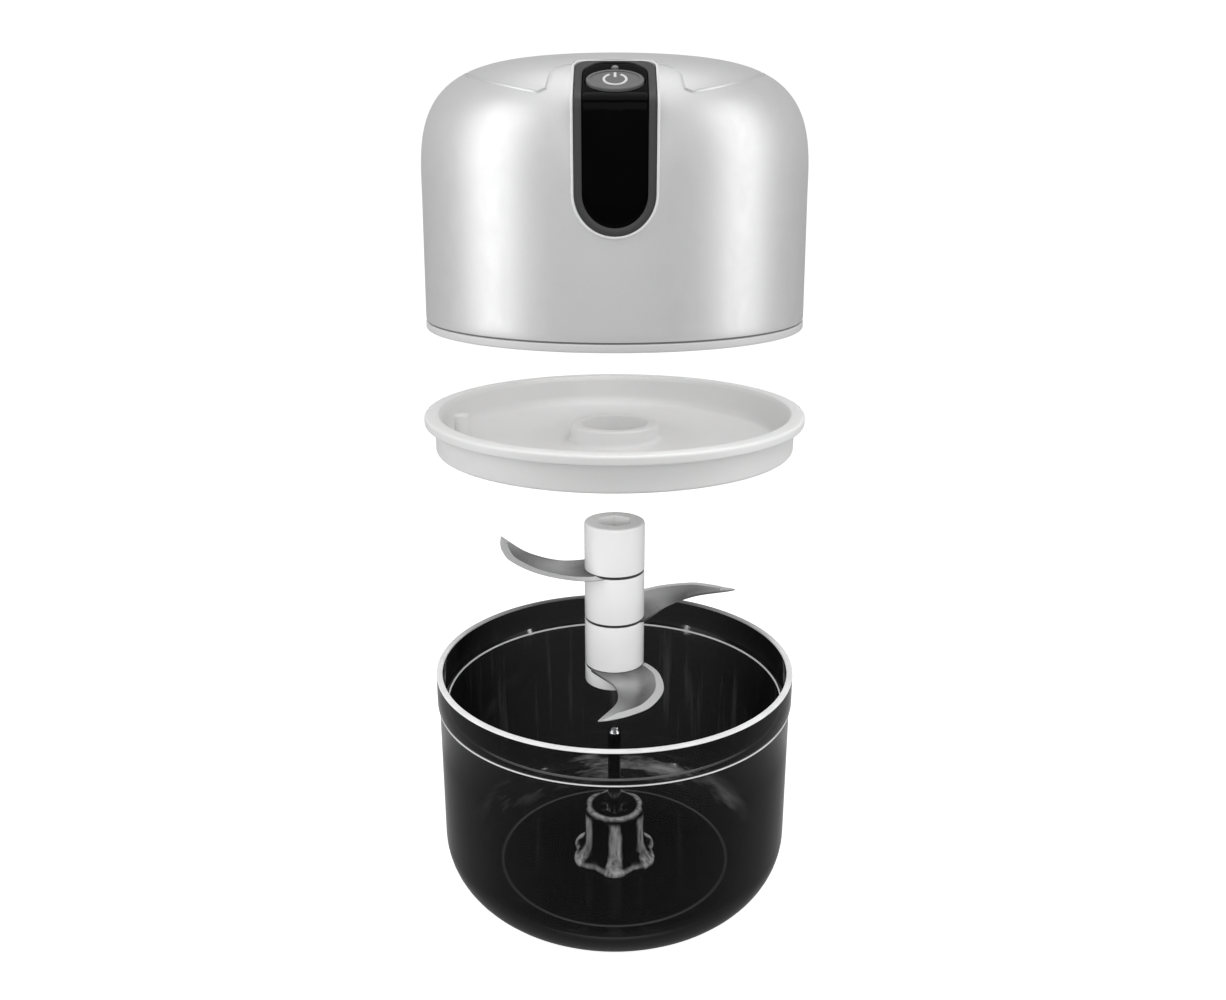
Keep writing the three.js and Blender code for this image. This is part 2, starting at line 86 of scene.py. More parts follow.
HEAD_Z = low("head_base").z     # the head's underside; heights on the head count from here
HEAD_H = high("head_shell").z - HEAD_Z
HEAD_FOOT_R = high("head_base").x
HEAD_R = 45.0
SHOULDER = 30.6                 # height where the wall turns into the shoulder
SEAM = 1.8
SHELL_T = 2.3
TOP_EDGE_Y = -9.6               # centre of the round line on the head's top
TOP_EDGE_R = 32.6
LINE_R = 0.52                   # radius of the groove of that line
PORT_PIN_R = 0.75               # radius of the pin that the port's cover turns on
PORT_HINGE = Matrix.Translation((0, 43.6, HEAD_Z + 10.6)) @ Matrix.Rotation(TAU / 4, 4, "Y")
SCREWS = [f"base_screw_{k + 1}" for k in range(4)]

SPINE_HALF = high("window_bezel").x
SPINE_TOP_Y, SPINE_TOP_H = -33.0, 56.9
SPINE_TILT = math.radians(30)
SPINE_SLOPE = 12.9              # length of the tilted face
SPINE_FRONT = -45.9
SPINE_FOOT = 23.4
RIM_W = 1.55
RIM_T = 2.2
TOP_THIN = 0.2                  # share of the bezel's width that is left at its upper end
BUTTON_AT = 8.4                 # distance of the button down the tilted face
BUTTON_A, BUTTON_B = 5.7, 4.1   # half the button's width and height
LED_AT = 2.9
LIP_OUT = 0.62                  # how far the lip, painted white as a highlight, stands outside the spine
SPRING_WIRE = 0.2               # wire radius of the safety pin's spring
SPRING_TURNS = 5

LID_TOP = high("inner_lid").z
LID_FOOT = low("inner_lid").z
LID_R = high("inner_lid").x
SKIRT_R = 44.7
HUB_R, HUB_BORE, HUB_TOP = 11.0, 8.4, 130.6
PEG_X = (low("safety_pin").x + high("safety_pin").x) / 2

COLUMN_R = 7.9
SPACER_BORE = 5.95
BLADE_RING_R = 7.78
BLADE_ROWS = 11                 # points round a blade's cross-section
JOINT_CLOSE = 0.39              # how far each spacer closes towards its blade
HUB_EDGE = 8.9                  # radius where a blade starts to rise
BLADE_T = 0.6                   # sheet thickness; the spacers close up to it
BLADE_R = 33.5
BLADE_TURN = {"lower_blade": -97, "middle_blade": 12, "upper_blade": 158}
BLADE_Z = {"lower_blade": 64.4, "middle_blade": 77.8, "upper_blade": 91.2}
BLADE_RISE = {"lower_blade": 0, "middle_blade": 4.5, "upper_blade": 4.5}
LEADING = [(6.4, 96), (9, 88), (14, 65), (21, 43.5), (27, 26.5), (30, 15), (32, 6.5), (33.5, 0)]
TRAILING = [(6.4, -46), (8.6, -38), (13, 2), (16, 8), (20, 9.5), (25, 7.5), (32, 1), (33.5, 0)]
GROUND_W = 2.0                  # width of the ground cutting bevel

BOWL_R = high("bowl").x
BOWL_H = high("bowl").z
BODY_R = 47.1
STEP_Z = 55.6
WALL = 2.1
CORNER_Z = 17.0
BASE_R = 29.5
FLOOR_Z = 4.4
FLOOR_RING_R = 31.8             # radius of the painted ring of light where the floor begins
POST_TOP = 20.0
POST_LOBES = 6
FLUTE = 0.07                    # share of the radius that lobes rise and grooves sink


# ---- shape helpers ----

def soften(points, steps=5, closed=True):
    """The same line with a round at each corner that states its length along the sides."""
    out = []
    count = len(points)
    for k, here in enumerate(points):
        corner = Vector(here[:2])
        at_end = not closed and k in (0, count - 1)
        if len(here) < 3 or at_end:
            out.append(corner)
            continue
        before = Vector(points[k - 1][:2])
        after = Vector(points[(k + 1) % count][:2])
        start = corner + (before - corner).normalized() * here[2]
        end = corner + (after - corner).normalized() * here[2]
        for step in range(steps + 1):
            t = step / steps
            out.append(start * (1 - t) ** 2 + corner * 2 * t * (1 - t) + end * t * t)
    return [tuple(p) for p in out]


def turned(profile, steps=STEPS, angle=TAU):
    """A line of (radius, height) points spun about the vertical axis; it closes on itself
    unless it starts and ends on the axis."""
    bm = bmesh.new()
    line = [bm.verts.new((r, 0, z)) for r, z in profile]
    pairs = list(zip(line, line[1:]))
    if profile[0][0] > 0:
        pairs.append((line[-1], line[0]))
    edges = [bm.edges.new(pair) for pair in pairs]
    full = angle == TAU
    bmesh.ops.spin(
        bm, geom=line + edges, cent=(0, 0, 0), axis=(0, 0, 1),
        angle=angle, steps=steps, use_merge=full,
    )
    bmesh.ops.remove_doubles(bm, verts=bm.verts, dist=0.0005)
    if not full:
        bmesh.ops.holes_fill(bm, edges=open_edges(bm), sides=0)
    return bm


def mapped(columns, rows, place):
    """A grid whose points are placed by two shares from 0 to 1; edges that meet are joined."""
    bm = bmesh.new()
    bmesh.ops.create_grid(bm, x_segments=columns, y_segments=rows, size=1)
    along = bm.verts.layers.float.new("along")
    for vert in bm.verts:
        u, v = (vert.co.x + 1) / 2, (vert.co.y + 1) / 2
        vert[along] = u
        vert.co = place(u, v)
    bmesh.ops.remove_doubles(bm, verts=bm.verts, dist=0.0005)
    bmesh.ops.dissolve_degenerate(bm, edges=bm.edges, dist=0.0002)
    return bm


def thickened(bm, vec):
    """The bmesh's one face carried along a vector, so that it is a solid."""
    grown = bmesh.ops.extrude_face_region(bm, geom=bm.faces[:])["geom"]
    verts = [v for v in grown if isinstance(v, bmesh.types.BMVert)]
    bmesh.ops.translate(bm, vec=vec, verts=verts)
    return bm


def disc(a, b, low_z, high_z, bevel=0.0, steps=SMALL_STEPS):
    """An oval plate, its two rims rounded by a bevel."""
    bm = bmesh.new()
    bmesh.ops.create_circle(bm, cap_ends=True, segments=steps, radius=1)
    bmesh.ops.scale(bm, vec=(a, b, 1), verts=bm.verts)
    thickened(moved(bm, z=low_z), (0, 0, high_z - low_z))
    if bevel:
        rims = [e for e in bm.edges if abs(e.verts[0].co.z - e.verts[1].co.z) < 1e-6]
        round_edges(bm, rims, bevel)
    return bm


def block(x, y, z, bevel=0.0, segments=3):
    """A box about the origin, its edges rounded."""
    bm = bmesh.new()
    bmesh.ops.create_cube(bm, size=1)
    bmesh.ops.scale(bm, vec=(x, y, z), verts=bm.verts)
    if bevel:
        round_edges(bm, bm.edges[:], bevel, segments)
    return bm


def hexagon(radius, start, end):
    """A six-sided bar on the vertical axis."""
    bm = bmesh.new()
    bmesh.ops.create_circle(bm, cap_ends=True, segments=6, radius=radius)
    return thickened(moved(bm, z=start), (0, 0, end - start))


def drill(radius, start, end, steps=32):
    """A round rod on the vertical axis, for cutting a bore."""
    return turned([(0, start), (radius, start), (radius, end), (0, end)], steps)


def centre(node):
    """Where a CAD node's box is centred, in plan."""
    lowest, highest = low(node), high(node)
    return (lowest.x + highest.x) / 2, (lowest.y + highest.y) / 2


def open_edges(bm):
    return [edge for edge in bm.edges if edge.is_boundary]


def round_edges(bm, edges, width, segments=4):
    """Every one of these edges gets a round of this width."""
    bmesh.ops.bevel(
        bm, geom=edges, offset=width, offset_type="OFFSET", segments=segments,
        profile=0.5, affect="EDGES", material=-1, clamp_overlap=True,
    )


def moved(bm, x=0.0, y=0.0, z=0.0):
    bmesh.ops.translate(bm, vec=(x, y, z), verts=bm.verts)
    return bm


def placed(bm, matrix):
    bmesh.ops.transform(bm, matrix=matrix, verts=bm.verts)
    return bm


def joined(*parts):
    """Several loose shapes as one."""
    whole = parts[0]
    for other in parts[1:]:
        loose = bpy.data.meshes.new("loose")
        other.to_mesh(loose)
        other.free()
        whole.from_mesh(loose)
        bpy.data.meshes.remove(loose)
    return whole


def new_object(name, bm):
    """The finished bmesh as an object at the origin, in metres, with faces outward."""
    bmesh.ops.recalc_face_normals(bm, faces=bm.faces)
    bmesh.ops.scale(bm, vec=(MM, MM, MM), verts=bm.verts)
    mesh = bpy.data.meshes.new(name)
    bm.to_mesh(mesh)
    bm.free()
    made = bpy.data.objects.new(name, mesh)
    bpy.context.scene.collection.objects.link(made)
    return made


def cut(obj, *cutters):
    """Takes the cutters' volumes out of an object; the cutters are used up."""
    for number, cutter in enumerate(cutters):
        tool = new_object(f"{obj.name}_tool_{number}", cutter)
        step = obj.modifiers.new("cut", "BOOLEAN")
        step.object = tool
        step.operation = "DIFFERENCE"
        step.solver = "EXACT"
        graph = bpy.context.evaluated_depsgraph_get()
        result = bpy.data.meshes.new_from_object(obj.evaluated_get(graph))
        obj.modifiers.clear()
        old, obj.data = obj.data, result
        bpy.data.meshes.remove(old)
        bpy.data.objects.remove(tool)


def finished(obj, body, slot, replaced=(), angle=30, materials=None):
    """Smooth shading with sharp corners kept, the materials (the slot's own unless others are
    given), and the piece's place in the frame."""
    mesh = obj.data
    mesh.name = obj.name
    mesh.shade_smooth()
    mesh.set_sharp_from_angle(angle=math.radians(angle))
    kept = [face.material_index for face in mesh.polygons]
    mesh.materials.clear()
    materials = materials or [MATERIALS[slot]]
    for material in materials:
        mesh.materials.append(material)
    for face, index in zip(mesh.polygons, kept):
        face.material_index = min(index, len(materials) - 1)
    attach(obj, body)
    if replaced:
        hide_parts(*replaced)


def add_shape(obj, bm):
    """Joins a closed shape to an object. It comes after the cuts, because a cut through two
    shells that overlap can lose one of them."""
    bmesh.ops.recalc_face_normals(bm, faces=bm.faces)
    bmesh.ops.scale(bm, vec=(MM, MM, MM), verts=bm.verts)
    bm.from_mesh(obj.data)
    bm.to_mesh(obj.data)
    bm.free()


def piece(name, bm, body, slot, replaced=(), angle=30, materials=None, cuts=(), added=None):
    """A new visible piece: a shape less its cuts, then one more shape, in its body, with its
    materials."""
    made = new_object(name, bm)
    cut(made, *cuts)
    if added:
        add_shape(made, added)
    finished(made, body, slot, replaced, angle, materials)
    return made


# ---- material helpers ----

class Finish:
    """A material with one Principled shader and short ways to add its detail."""

    def __init__(self, name, color, roughness, metallic=0.0, **sockets):
        self.material = bpy.data.materials.new(name)
        self.material.use_nodes = True
        self.nodes = self.material.node_tree.nodes
        self.links = self.material.node_tree.links
        self.shader = self.nodes["Principled BSDF"]
        self.color = color
        self.set("Base Color", (*color, 1))
        self.set("Roughness", roughness)
        self.set("Metallic", metallic)
        for key, value in sockets.items():
            self.set(key.replace("_", " "), value)
        self.place = self.nodes.new("ShaderNodeTexCoord").outputs["Object"]

    def set(self, socket, value):
        self.shader.inputs[socket].default_value = value

    def link(self, output, target):
        self.links.new(output, target)

    def node(self, kind, **values):
        made = self.nodes.new(kind)
        for key, value in values.items():
            setattr(made, key, value)
        return made

    def maths(self, operation, first, second=0.0, clamp=False):
        made = self.node("ShaderNodeMath", operation=operation, use_clamp=clamp)
        for socket, value in zip(made.inputs, (first, second)):
            if isinstance(value, (int, float)):
                socket.default_value = value
            else:
                self.link(value, socket)
        return made.outputs[0]

    def times(self, first, second, clamp=False):
        return self.maths("MULTIPLY", first, second, clamp)

    def plus(self, first, second, clamp=False):
        return self.maths("ADD", first, second, clamp)

    def distance(self, value, target):
        """How far a value is from a target, whichever side it is on."""
        return self.maths("ABSOLUTE", self.maths("SUBTRACT", value, target))

    def split(self, vector=None):
        """The three numbers of a vector, or of the place."""
        parts = self.node("ShaderNodeSeparateXYZ")
        self.link(vector or self.place, parts.inputs[0])
        return parts.outputs

    def stretched(self, x, y, z):
        """Object coordinates, scaled along each axis."""
        mapping = self.node("ShaderNodeMapping")
        mapping.inputs["Scale"].default_value = (x, y, z)
        self.link(self.place, mapping.inputs["Vector"])
        return mapping.outputs["Vector"]

    def around(self, per_metre, turns=1.0):
        """Coordinates that run with the distance from the vertical axis, the angle and the height."""
        x, y, z = self.split()
        square = self.plus(self.times(x, x), self.times(y, y))
        radius = self.times(self.maths("SQRT", square), per_metre)
        turn = self.times(self.maths("ARCTAN2", y, x), turns)
        together = self.node("ShaderNodeCombineXYZ")
        for output, socket in zip((radius, turn, self.times(z, per_metre)), together.inputs):
            self.link(output, socket)
        return together.outputs[0]

    def noise(self, scale, detail=3.0, vector=None, roughness=0.55):
        made = self.node("ShaderNodeTexNoise")
        made.inputs["Scale"].default_value = scale
        made.inputs["Detail"].default_value = detail
        made.inputs["Roughness"].default_value = roughness
        self.link(vector or self.place, made.inputs["Vector"])
        return made.outputs["Fac"]

    def between(self, share, low_value, high_value, start=0.3, end=0.7):
        """A number that follows a share, from low_value to high_value."""
        made = self.node("ShaderNodeMapRange")
        for key, value in (("From Min", start), ("From Max", end),
                           ("To Min", low_value), ("To Max", high_value)):
            made.inputs[key].default_value = value
        self.link(share, made.inputs["Value"])
        return made.outputs["Result"]

    def tint(self, share, darker, lighter):
        """The base colour varies by a share, between two brightnesses of its own colour."""
        ramp = self.node("ShaderNodeValToRGB")
        ramp.color_ramp.elements[0].position = 0.3
        ramp.color_ramp.elements[1].position = 0.7
        for element, factor in zip(ramp.color_ramp.elements, (darker, lighter)):
            element.color = (*[min(1.0, c * factor) for c in self.color], 1)
        self.link(share, ramp.inputs["Fac"])
        self.link(ramp.outputs["Color"], self.shader.inputs["Base Color"])

    def rough(self, share, smoothest, roughest):
        self.link(self.between(share, smoothest, roughest), self.shader.inputs["Roughness"])

    def bump(self, height, distance_mm, strength=1.0):
        made = self.node("ShaderNodeBump")
        made.inputs["Strength"].default_value = strength
        made.inputs["Distance"].default_value = distance_mm * MM
        self.link(height, made.inputs["Height"])
        self.link(made.outputs["Normal"], self.shader.inputs["Normal"])


def moulded(name, color, roughness, grain, **sockets):
    """Moulded plastic: a fine grain, a slow drift of tone and handling marks in the gloss."""
    finish = Finish(name, color, roughness, **sockets)
    finish.tint(finish.noise(18, 2), 0.965, 1.0)
    finish.rough(finish.noise(70, 4), roughness * 0.88, roughness * 1.14)
    finish.bump(finish.noise(900, 2), grain)
    return finish.material


def pearl_paint():
    """Satin pearl paint: fine bright flake, faint orange peel."""
    finish = Finish("pearl_paint", (0.80, 0.80, 0.805), 0.42, 0.5,
                    Coat_Weight=0.12, Coat_Roughness=0.3)
    flake = finish.noise(5200, 1)
    drift = finish.noise(9, 2)
    finish.tint(finish.plus(finish.times(flake, 0.5), finish.times(drift, 0.5)), 0.95, 1.03)
    finish.rough(finish.noise(420, 3), 0.39, 0.46)
    finish.bump(finish.noise(650, 2), 0.003)
    return finish.material


def lid_polypropylene():
    """Soft white polypropylene that lets a little light through, with turned tool marks."""
    finish = Finish("lid_polypropylene", (0.86, 0.86, 0.857), 0.4,
                    Subsurface_Weight=0.04, Subsurface_Scale=0.001)
    finish.tint(finish.noise(26, 3), 0.97, 1.0)
    finish.rough(finish.noise(80, 3), 0.36, 0.48)
    finish.bump(finish.noise(1.0, 2, finish.around(900, 2)), 0.006)
    return finish.material


def column_nylon():
    """Polished white column plastic with very faint turning lines."""
    finish = Finish("column_plastic", (0.88, 0.88, 0.88), 0.22, Coat_Weight=0.3, Coat_Roughness=0.08)
    finish.tint(finish.noise(60, 2), 0.97, 1.0)
    finish.rough(finish.noise(160, 3), 0.19, 0.27)
    finish.bump(finish.noise(1.0, 2, finish.around(1400, 3)), 0.003)
    return finish.material


def piano_black():
    """Deep black lacquer with faint polishing haze."""
    finish = Finish("piano_black", (0.001, 0.001, 0.0011), 0.07, Specular_IOR_Level=0.06)
    finish.tint(finish.noise(120, 2), 0.8, 1.2)
    finish.rough(finish.noise(260, 5), 0.045, 0.09)
    finish.bump(finish.noise(90, 1), 0.002)
    return finish.material


def brushed(name, color, roughness, streaks=2600.0, depth=0.002, contrast=0.08, metallic=1.0):
    """Steel sheet brushed round the axis: fine streaks in tone, gloss and height."""
    finish = Finish(name, color, roughness, metallic)
    streak = finish.noise(1.0, 4, finish.around(streaks, 2), 0.7)
    finish.tint(streak, 1 - contrast, 1 + contrast * 0.5)
    finish.rough(streak, roughness * 0.85, roughness * 1.2)
    finish.bump(streak, depth)
    return finish.material


def blade_sheet():
    """Polished blade steel: painted reflection in soft dark and light bands across its length, fine
    brushing along it.
    """
    finish = Finish("blade_sheet", (0.5, 0.5, 0.505), 0.3, 0.85)
    along = finish.node("ShaderNodeAttribute", attribute_name="along").outputs["Fac"]
    # Painted reflection: dark and light bands along the blade's length stand in for the surroundings
    # mirrored in the steel.
    painted_reflection_bands = finish.node("ShaderNodeValToRGB")
    ramp = painted_reflection_bands.color_ramp
    ramp.interpolation = "B_SPLINE"
    painted_band_stops = ((0.0, 0.07), (0.2, 0.16), (0.34, 0.62), (0.5, 0.24), (0.66, 0.2), (0.82, 0.5), (1.0, 0.62))
    while len(ramp.elements) < len(painted_band_stops):
        ramp.elements.new(0.5)
    for element, (position, tone) in zip(ramp.elements, painted_band_stops):
        element.position = position
        element.color = (tone, tone, tone * 1.01, 1)
    finish.link(along, painted_reflection_bands.inputs["Fac"])
    streak = finish.noise(1.0, 4, finish.around(3200, 2), 0.7)
    fine = finish.node("ShaderNodeMix", data_type="RGBA", blend_type="MULTIPLY")
    fine.inputs["Factor"].default_value = 0.25
    finish.link(painted_reflection_bands.outputs["Color"], fine.inputs["A"])
    finish.link(finish.between(streak, 0.75, 1.15), fine.inputs["B"])
    finish.link(fine.outputs["Result"], finish.shader.inputs["Base Color"])
    finish.rough(streak, 0.26, 0.36)
    finish.bump(streak, 0.0015)
    return finish.material


def metal(name, color, roughness):
    """Drawn or plated small hardware."""
    finish = Finish(name, color, roughness, 1.0)
    grain = finish.noise(500.0, 4)
    finish.tint(grain, 0.88, 1.04)
    finish.rough(grain, roughness * 0.8, roughness * 1.3)
    finish.bump(finish.noise(1000.0, 2), 0.003)
    return finish.material


def circuit_board():
    """Green solder mask over copper tracks."""
    finish = Finish("circuit_board", (0.012, 0.13, 0.045), 0.38)
    tracks = finish.node("ShaderNodeTexBrick")
    tracks.inputs["Scale"].default_value = 420
    tracks.inputs["Mortar Size"].default_value = 0.05
    tracks.inputs["Color1"].default_value = (0.012, 0.13, 0.045, 1)
    tracks.inputs["Color2"].default_value = (0.010, 0.10, 0.036, 1)
    tracks.inputs["Mortar"].default_value = (0.05, 0.24, 0.09, 1)
    finish.link(finish.place, tracks.inputs["Vector"])
    finish.link(tracks.outputs["Color"], finish.shader.inputs["Base Color"])
    finish.bump(tracks.outputs["Fac"], 0.02)
    return finish.material


def copper_windings():
    """Enamelled copper wire wound on the rotor."""
    finish = Finish("copper_windings", (0.42, 0.17, 0.07), 0.32, 0.9)
    wires = finish.node("ShaderNodeTexWave", bands_direction="Z")
    wires.inputs["Scale"].default_value = 420
    wires.inputs["Distortion"].default_value = 1.2
    finish.link(finish.place, wires.inputs["Vector"])
    finish.tint(wires.outputs["Fac"], 0.55, 1.15)
    finish.bump(wires.outputs["Fac"], 0.08)
    return finish.material


def bowl_outside():
    """Polished clear plastic over a dark inside: a film that deepens towards grazing angles, with painted
    glints that glow along its foot.
    """
    finish = Finish("bowl_outside", (0.004, 0.004, 0.0045), 0.05, Specular_IOR_Level=0.08,
                    Emission_Strength=0.35)
    weight = finish.node("ShaderNodeLayerWeight")
    weight.inputs["Blend"].default_value = 0.5
    depth = finish.between(weight.outputs["Facing"], 0.3, 0.97, 0.14, 0.5)
    finish.link(depth, finish.shader.inputs["Alpha"])
    # Painted highlight: glints along the bowl's foot, glowing through the emission.
    painted_foot_glints = painted_light_patches(finish, 0.0004, 0.0046, finish.around(90, 5), 0.5, 0.75)
    painted_glow(finish, finish.times(painted_foot_glints, 0.4), 0.004, 0.6)
    finish.rough(finish.noise(60, 4), 0.035, 0.075)
    finish.bump(finish.noise(1.0, 2, finish.stretched(38, 38, 9)), 0.12, 0.6)
    return finish.material


def painted_light_patches(finish, low_z, high_z, vector, start, end):
    """Painted light: patches of painted highlight along a band of heights, in metres."""
    middle, reach = (low_z + high_z) / 2, (high_z - low_z) / 2
    off = finish.distance(finish.split()["Z"], middle)
    band = finish.between(off, 1.0, 0.0, reach * 0.2, reach)
    patchy = finish.between(finish.noise(1.0, 5, vector, 0.6), 0.0, 1.0, start, end)
    return finish.times(band, patchy, clamp=True)


def painted_glow(finish, share, darkest, brightest):
    """Painted light: the base colour and a faint emitted light of its own rise together with a share."""
    ramp = finish.node("ShaderNodeValToRGB")
    ramp.color_ramp.elements[0].color = (darkest, darkest, darkest * 1.05, 1)
    ramp.color_ramp.elements[1].color = (brightest, brightest, brightest, 1)
    finish.link(share, ramp.inputs["Fac"])
    finish.link(ramp.outputs["Color"], finish.shader.inputs["Base Color"])
    finish.link(ramp.outputs["Color"], finish.shader.inputs["Emission Color"])


def bowl_inside():
    """The inner face: dark from inside the bowl, clear through the near wall, with painted arcs of light in
    the back corner, faint painted upright streaks of reflection and a painted ring of light where the floor
    begins, all glowing faintly."""
    finish = Finish("bowl_inside", (0.0035, 0.0035, 0.004), 0.07, Specular_IOR_Level=0.1,
                    Emission_Strength=0.5)
    behind = finish.node("ShaderNodeNewGeometry").outputs["Backfacing"]
    finish.link(finish.between(behind, 0.99, 0.05, 0.0, 1.0), finish.shader.inputs["Alpha"])
    # Painted highlight: a ring of light where the floor begins.
    off = finish.distance(finish.split(finish.around(1.0))["X"], FLOOR_RING_R * MM)
    ring = finish.between(off, 0.16, 0.0, 0.0001, 0.0006)
    # Painted reflections: arcs of light in the back corner, and faint upright streaks on the wall.
    painted_arcs = painted_light_patches(finish, 0.0044, 0.0125, finish.around(260, 2.2), 0.5, 0.72)
    back = finish.between(finish.split()["Y"], 0.0, 0.55, 0.0, 0.02)
    streaks = painted_light_patches(finish, 0.012, 0.062, finish.stretched(260, 260, 16), 0.56, 0.85)
    share = finish.plus(finish.times(painted_arcs, back), finish.times(streaks, 0.05))
    painted_glow(finish, finish.plus(share, ring, clamp=True), 0.0035, 0.75)
    finish.rough(finish.noise(60, 4), 0.06, 0.12)
    finish.bump(finish.noise(1.0, 2, finish.stretched(38, 38, 9)), 0.12, 0.6)
    return finish.material


def painted_edge_light(name, back_painted_light):
    """A polished edge of clear plastic, painted as a bright glowing highlight and slightly frosted; the
    painted light is darker towards the back of the bowl by a tone."""
    finish = Finish(name, (0.92, 0.92, 0.92), 0.3, Emission_Strength=0.2)
    # Painted light: the edge's highlight fades from the front of the bowl towards the back.
    front = finish.between(finish.split()["Y"], 1.0, back_painted_light, 0.004, 0.04)
    frost = finish.between(finish.noise(140, 3), 0.84, 1.0)
    painted_glow(finish, finish.times(front, frost), 0.01, 0.95)
    finish.rough(finish.noise(220, 3), 0.22, 0.42)
    finish.bump(finish.noise(500, 2), 0.01)
    return finish.material


def post_glass():
    """The fluted post: thick clear plastic, dark, with painted highlights that glow on its lobes, its top
    rim and its foot.
    """
    finish = Finish("post_glass", (0.05, 0.05, 0.052), 0.06, 0.0, Specular_IOR_Level=0.2,
                    Emission_Strength=0.42)
    radius, turn, height = finish.split(finish.around(1.0))
    # Painted highlights: bright crests on the lobes, arcs on the top rim and a line at the foot.
    lobes = finish.maths("ABSOLUTE", finish.maths("SINE", finish.times(turn, POST_LOBES / 2)))
    drift = finish.between(finish.noise(1.0, 3, finish.stretched(420, 420, 90)), -0.22, 0.16)
    painted_crest = finish.between(finish.plus(lobes, drift), 0.0, 0.85, 0.7, 1.0)
    upper = finish.between(height, 1.0, 0.0, 0.0178, 0.0192)
    rim = finish.between(finish.distance(radius, 0.0073), 0.75, 0.0, 0.0003, 0.0011)
    painted_arcs = finish.times(rim, finish.between(height, 0.0, 1.0, 0.019, 0.0198))
    foot = finish.between(finish.distance(height, 0.0054), 0.6, 0.0, 0.0001, 0.0007)
    whole = finish.plus(finish.plus(finish.times(painted_crest, upper), painted_arcs), foot, clamp=True)
    streaky = finish.between(finish.noise(1.0, 4, finish.stretched(900, 900, 140), 0.65), 0.25, 1.25)
    painted_glow(finish, finish.times(whole, streaky, clamp=True), 0.006, 0.9)
    finish.rough(finish.noise(90, 4), 0.04, 0.1)
    finish.bump(finish.noise(110, 2), 0.15, 0.5)
    return finish.material


MATERIALS = {
    "pearl_shell": pearl_paint(),
    "white_plastic": moulded("white_plastic", (0.78, 0.78, 0.78), 0.38, 0.012),
    "lid_plastic": lid_polypropylene(),
    "clear_bowl": bowl_outside(),
    "gloss_black": piano_black(),
    "bezel_grey": moulded("bezel_grey", (0.052, 0.052, 0.054), 0.38, 0.01),
    "button_grey": moulded("button_grey", (0.17, 0.17, 0.174), 0.36, 0.015),
    "mark_white": moulded("mark_white", (0.86, 0.86, 0.86), 0.35, 0.004),
    "blade_steel": blade_sheet(),
    "pin_steel": brushed("pin_steel", (0.45, 0.46, 0.47), 0.2, 1800.0),
    "screw_steel": metal("screw_steel", (0.55, 0.55, 0.56), 0.3),
    "motor_steel": brushed("motor_steel", (0.42, 0.43, 0.44), 0.34, 1500.0, 0.006),
    "brass": metal("brass", (0.55, 0.38, 0.13), 0.32),
    "nylon": moulded("nylon", (0.76, 0.73, 0.64), 0.5, 0.02, Subsurface_Weight=0.08),
    "grey_rubber": moulded("grey_rubber", (0.035, 0.035, 0.037), 0.72, 0.04),
    "black_plastic": moulded("black_plastic", (0.02, 0.02, 0.021), 0.5, 0.03),
    "circuit_board": circuit_board(),
    "cell_wrap": moulded("cell_wrap", (0.05, 0.16, 0.42), 0.36, 0.01),
    "magnet": metal("magnet", (0.12, 0.12, 0.125), 0.55),
    "rotor_copper": copper_windings(),
}
BOWL_INSIDE = bowl_inside()
RIM_PAINTED_LIGHT = painted_edge_light("rim_edge", 0.12)
STEP_PAINTED_LIGHT = painted_edge_light("step_edge", 0.8)
POST_GLASS = post_glass()
COLUMN_FINISH = column_nylon()
GROUND_STEEL = brushed("ground_steel", (0.82, 0.82, 0.825), 0.38, 4200.0, 0.002, 0.06, 0.3)
# Painted highlight: the lip round the window is whiter than the shell's own paint, so that it shows as a
# bright line.
LIP_PAINTED_HIGHLIGHT = moulded("lip_painted_highlight", (0.96, 0.96, 0.96), 0.3, 0.004, Coat_Weight=0.4)
LENS_GREY = moulded("lens_grey", (0.3, 0.3, 0.305), 0.22, 0.004)
SEAM_GREY = moulded("seam_grey", (0.22, 0.22, 0.225), 0.6, 0.01)


# ---- motor head ----

def head_radius(height):
    """Outside radius of the head at a height above its underside."""
    if height <= SHOULDER:
        return HEAD_FOOT_R + (HEAD_R - HEAD_FOOT_R) * height / SHOULDER
    up = min(1.0, (height - SHOULDER) / (HEAD_H - SHOULDER))
    return HEAD_R * math.sqrt(math.cos(math.asin(up ** 1.6)))


def head_height(radius):
    """Height of the head's outside over a distance from the axis, on its top."""
    rest = max(0.0, 1 - (radius / HEAD_R) ** 4)
    return SHOULDER + (HEAD_H - SHOULDER) * rest ** 0.3125


def shell_outside():
    """Outer line of the shell, from its lower edge to the pole."""
    foot = SEAM + PLAY
    line = [(HEAD_FOOT_R - 0.5, foot), (HEAD_FOOT_R - 0.14, foot + 0.1),
            (head_radius(foot) - 0.02, foot + 0.45)]
    for height in (4, 8, 13, 18, 23, 27, SHOULDER):
        line.append((head_radius(height), height))
    for step in range(1, 41):
        turn = math.radians(1.5 * step)
        line.append((HEAD_R * math.cos(turn) ** 0.5,
                     SHOULDER + (HEAD_H - SHOULDER) * math.sin(turn) ** 0.625))
    radius = line[-1][0] - 1.0
    while radius > 0.6:
        line.append((radius, head_height(radius)))
        radius -= 1.25
    return line + [(0, HEAD_H)]


def shell_inside():
    """Inner line of the shell, from the pole down."""
    line = [(0, HEAD_H - SHELL_T)]
    for radius in (8, 16, 23, 29, 34, 38, 41):
        line.append((radius, head_height(radius * 1.045) - SHELL_T))
    return line + [(HEAD_R - SHELL_T, SHOULDER - 2), (HEAD_FOOT_R - SHELL_T, SEAM + PLAY)]


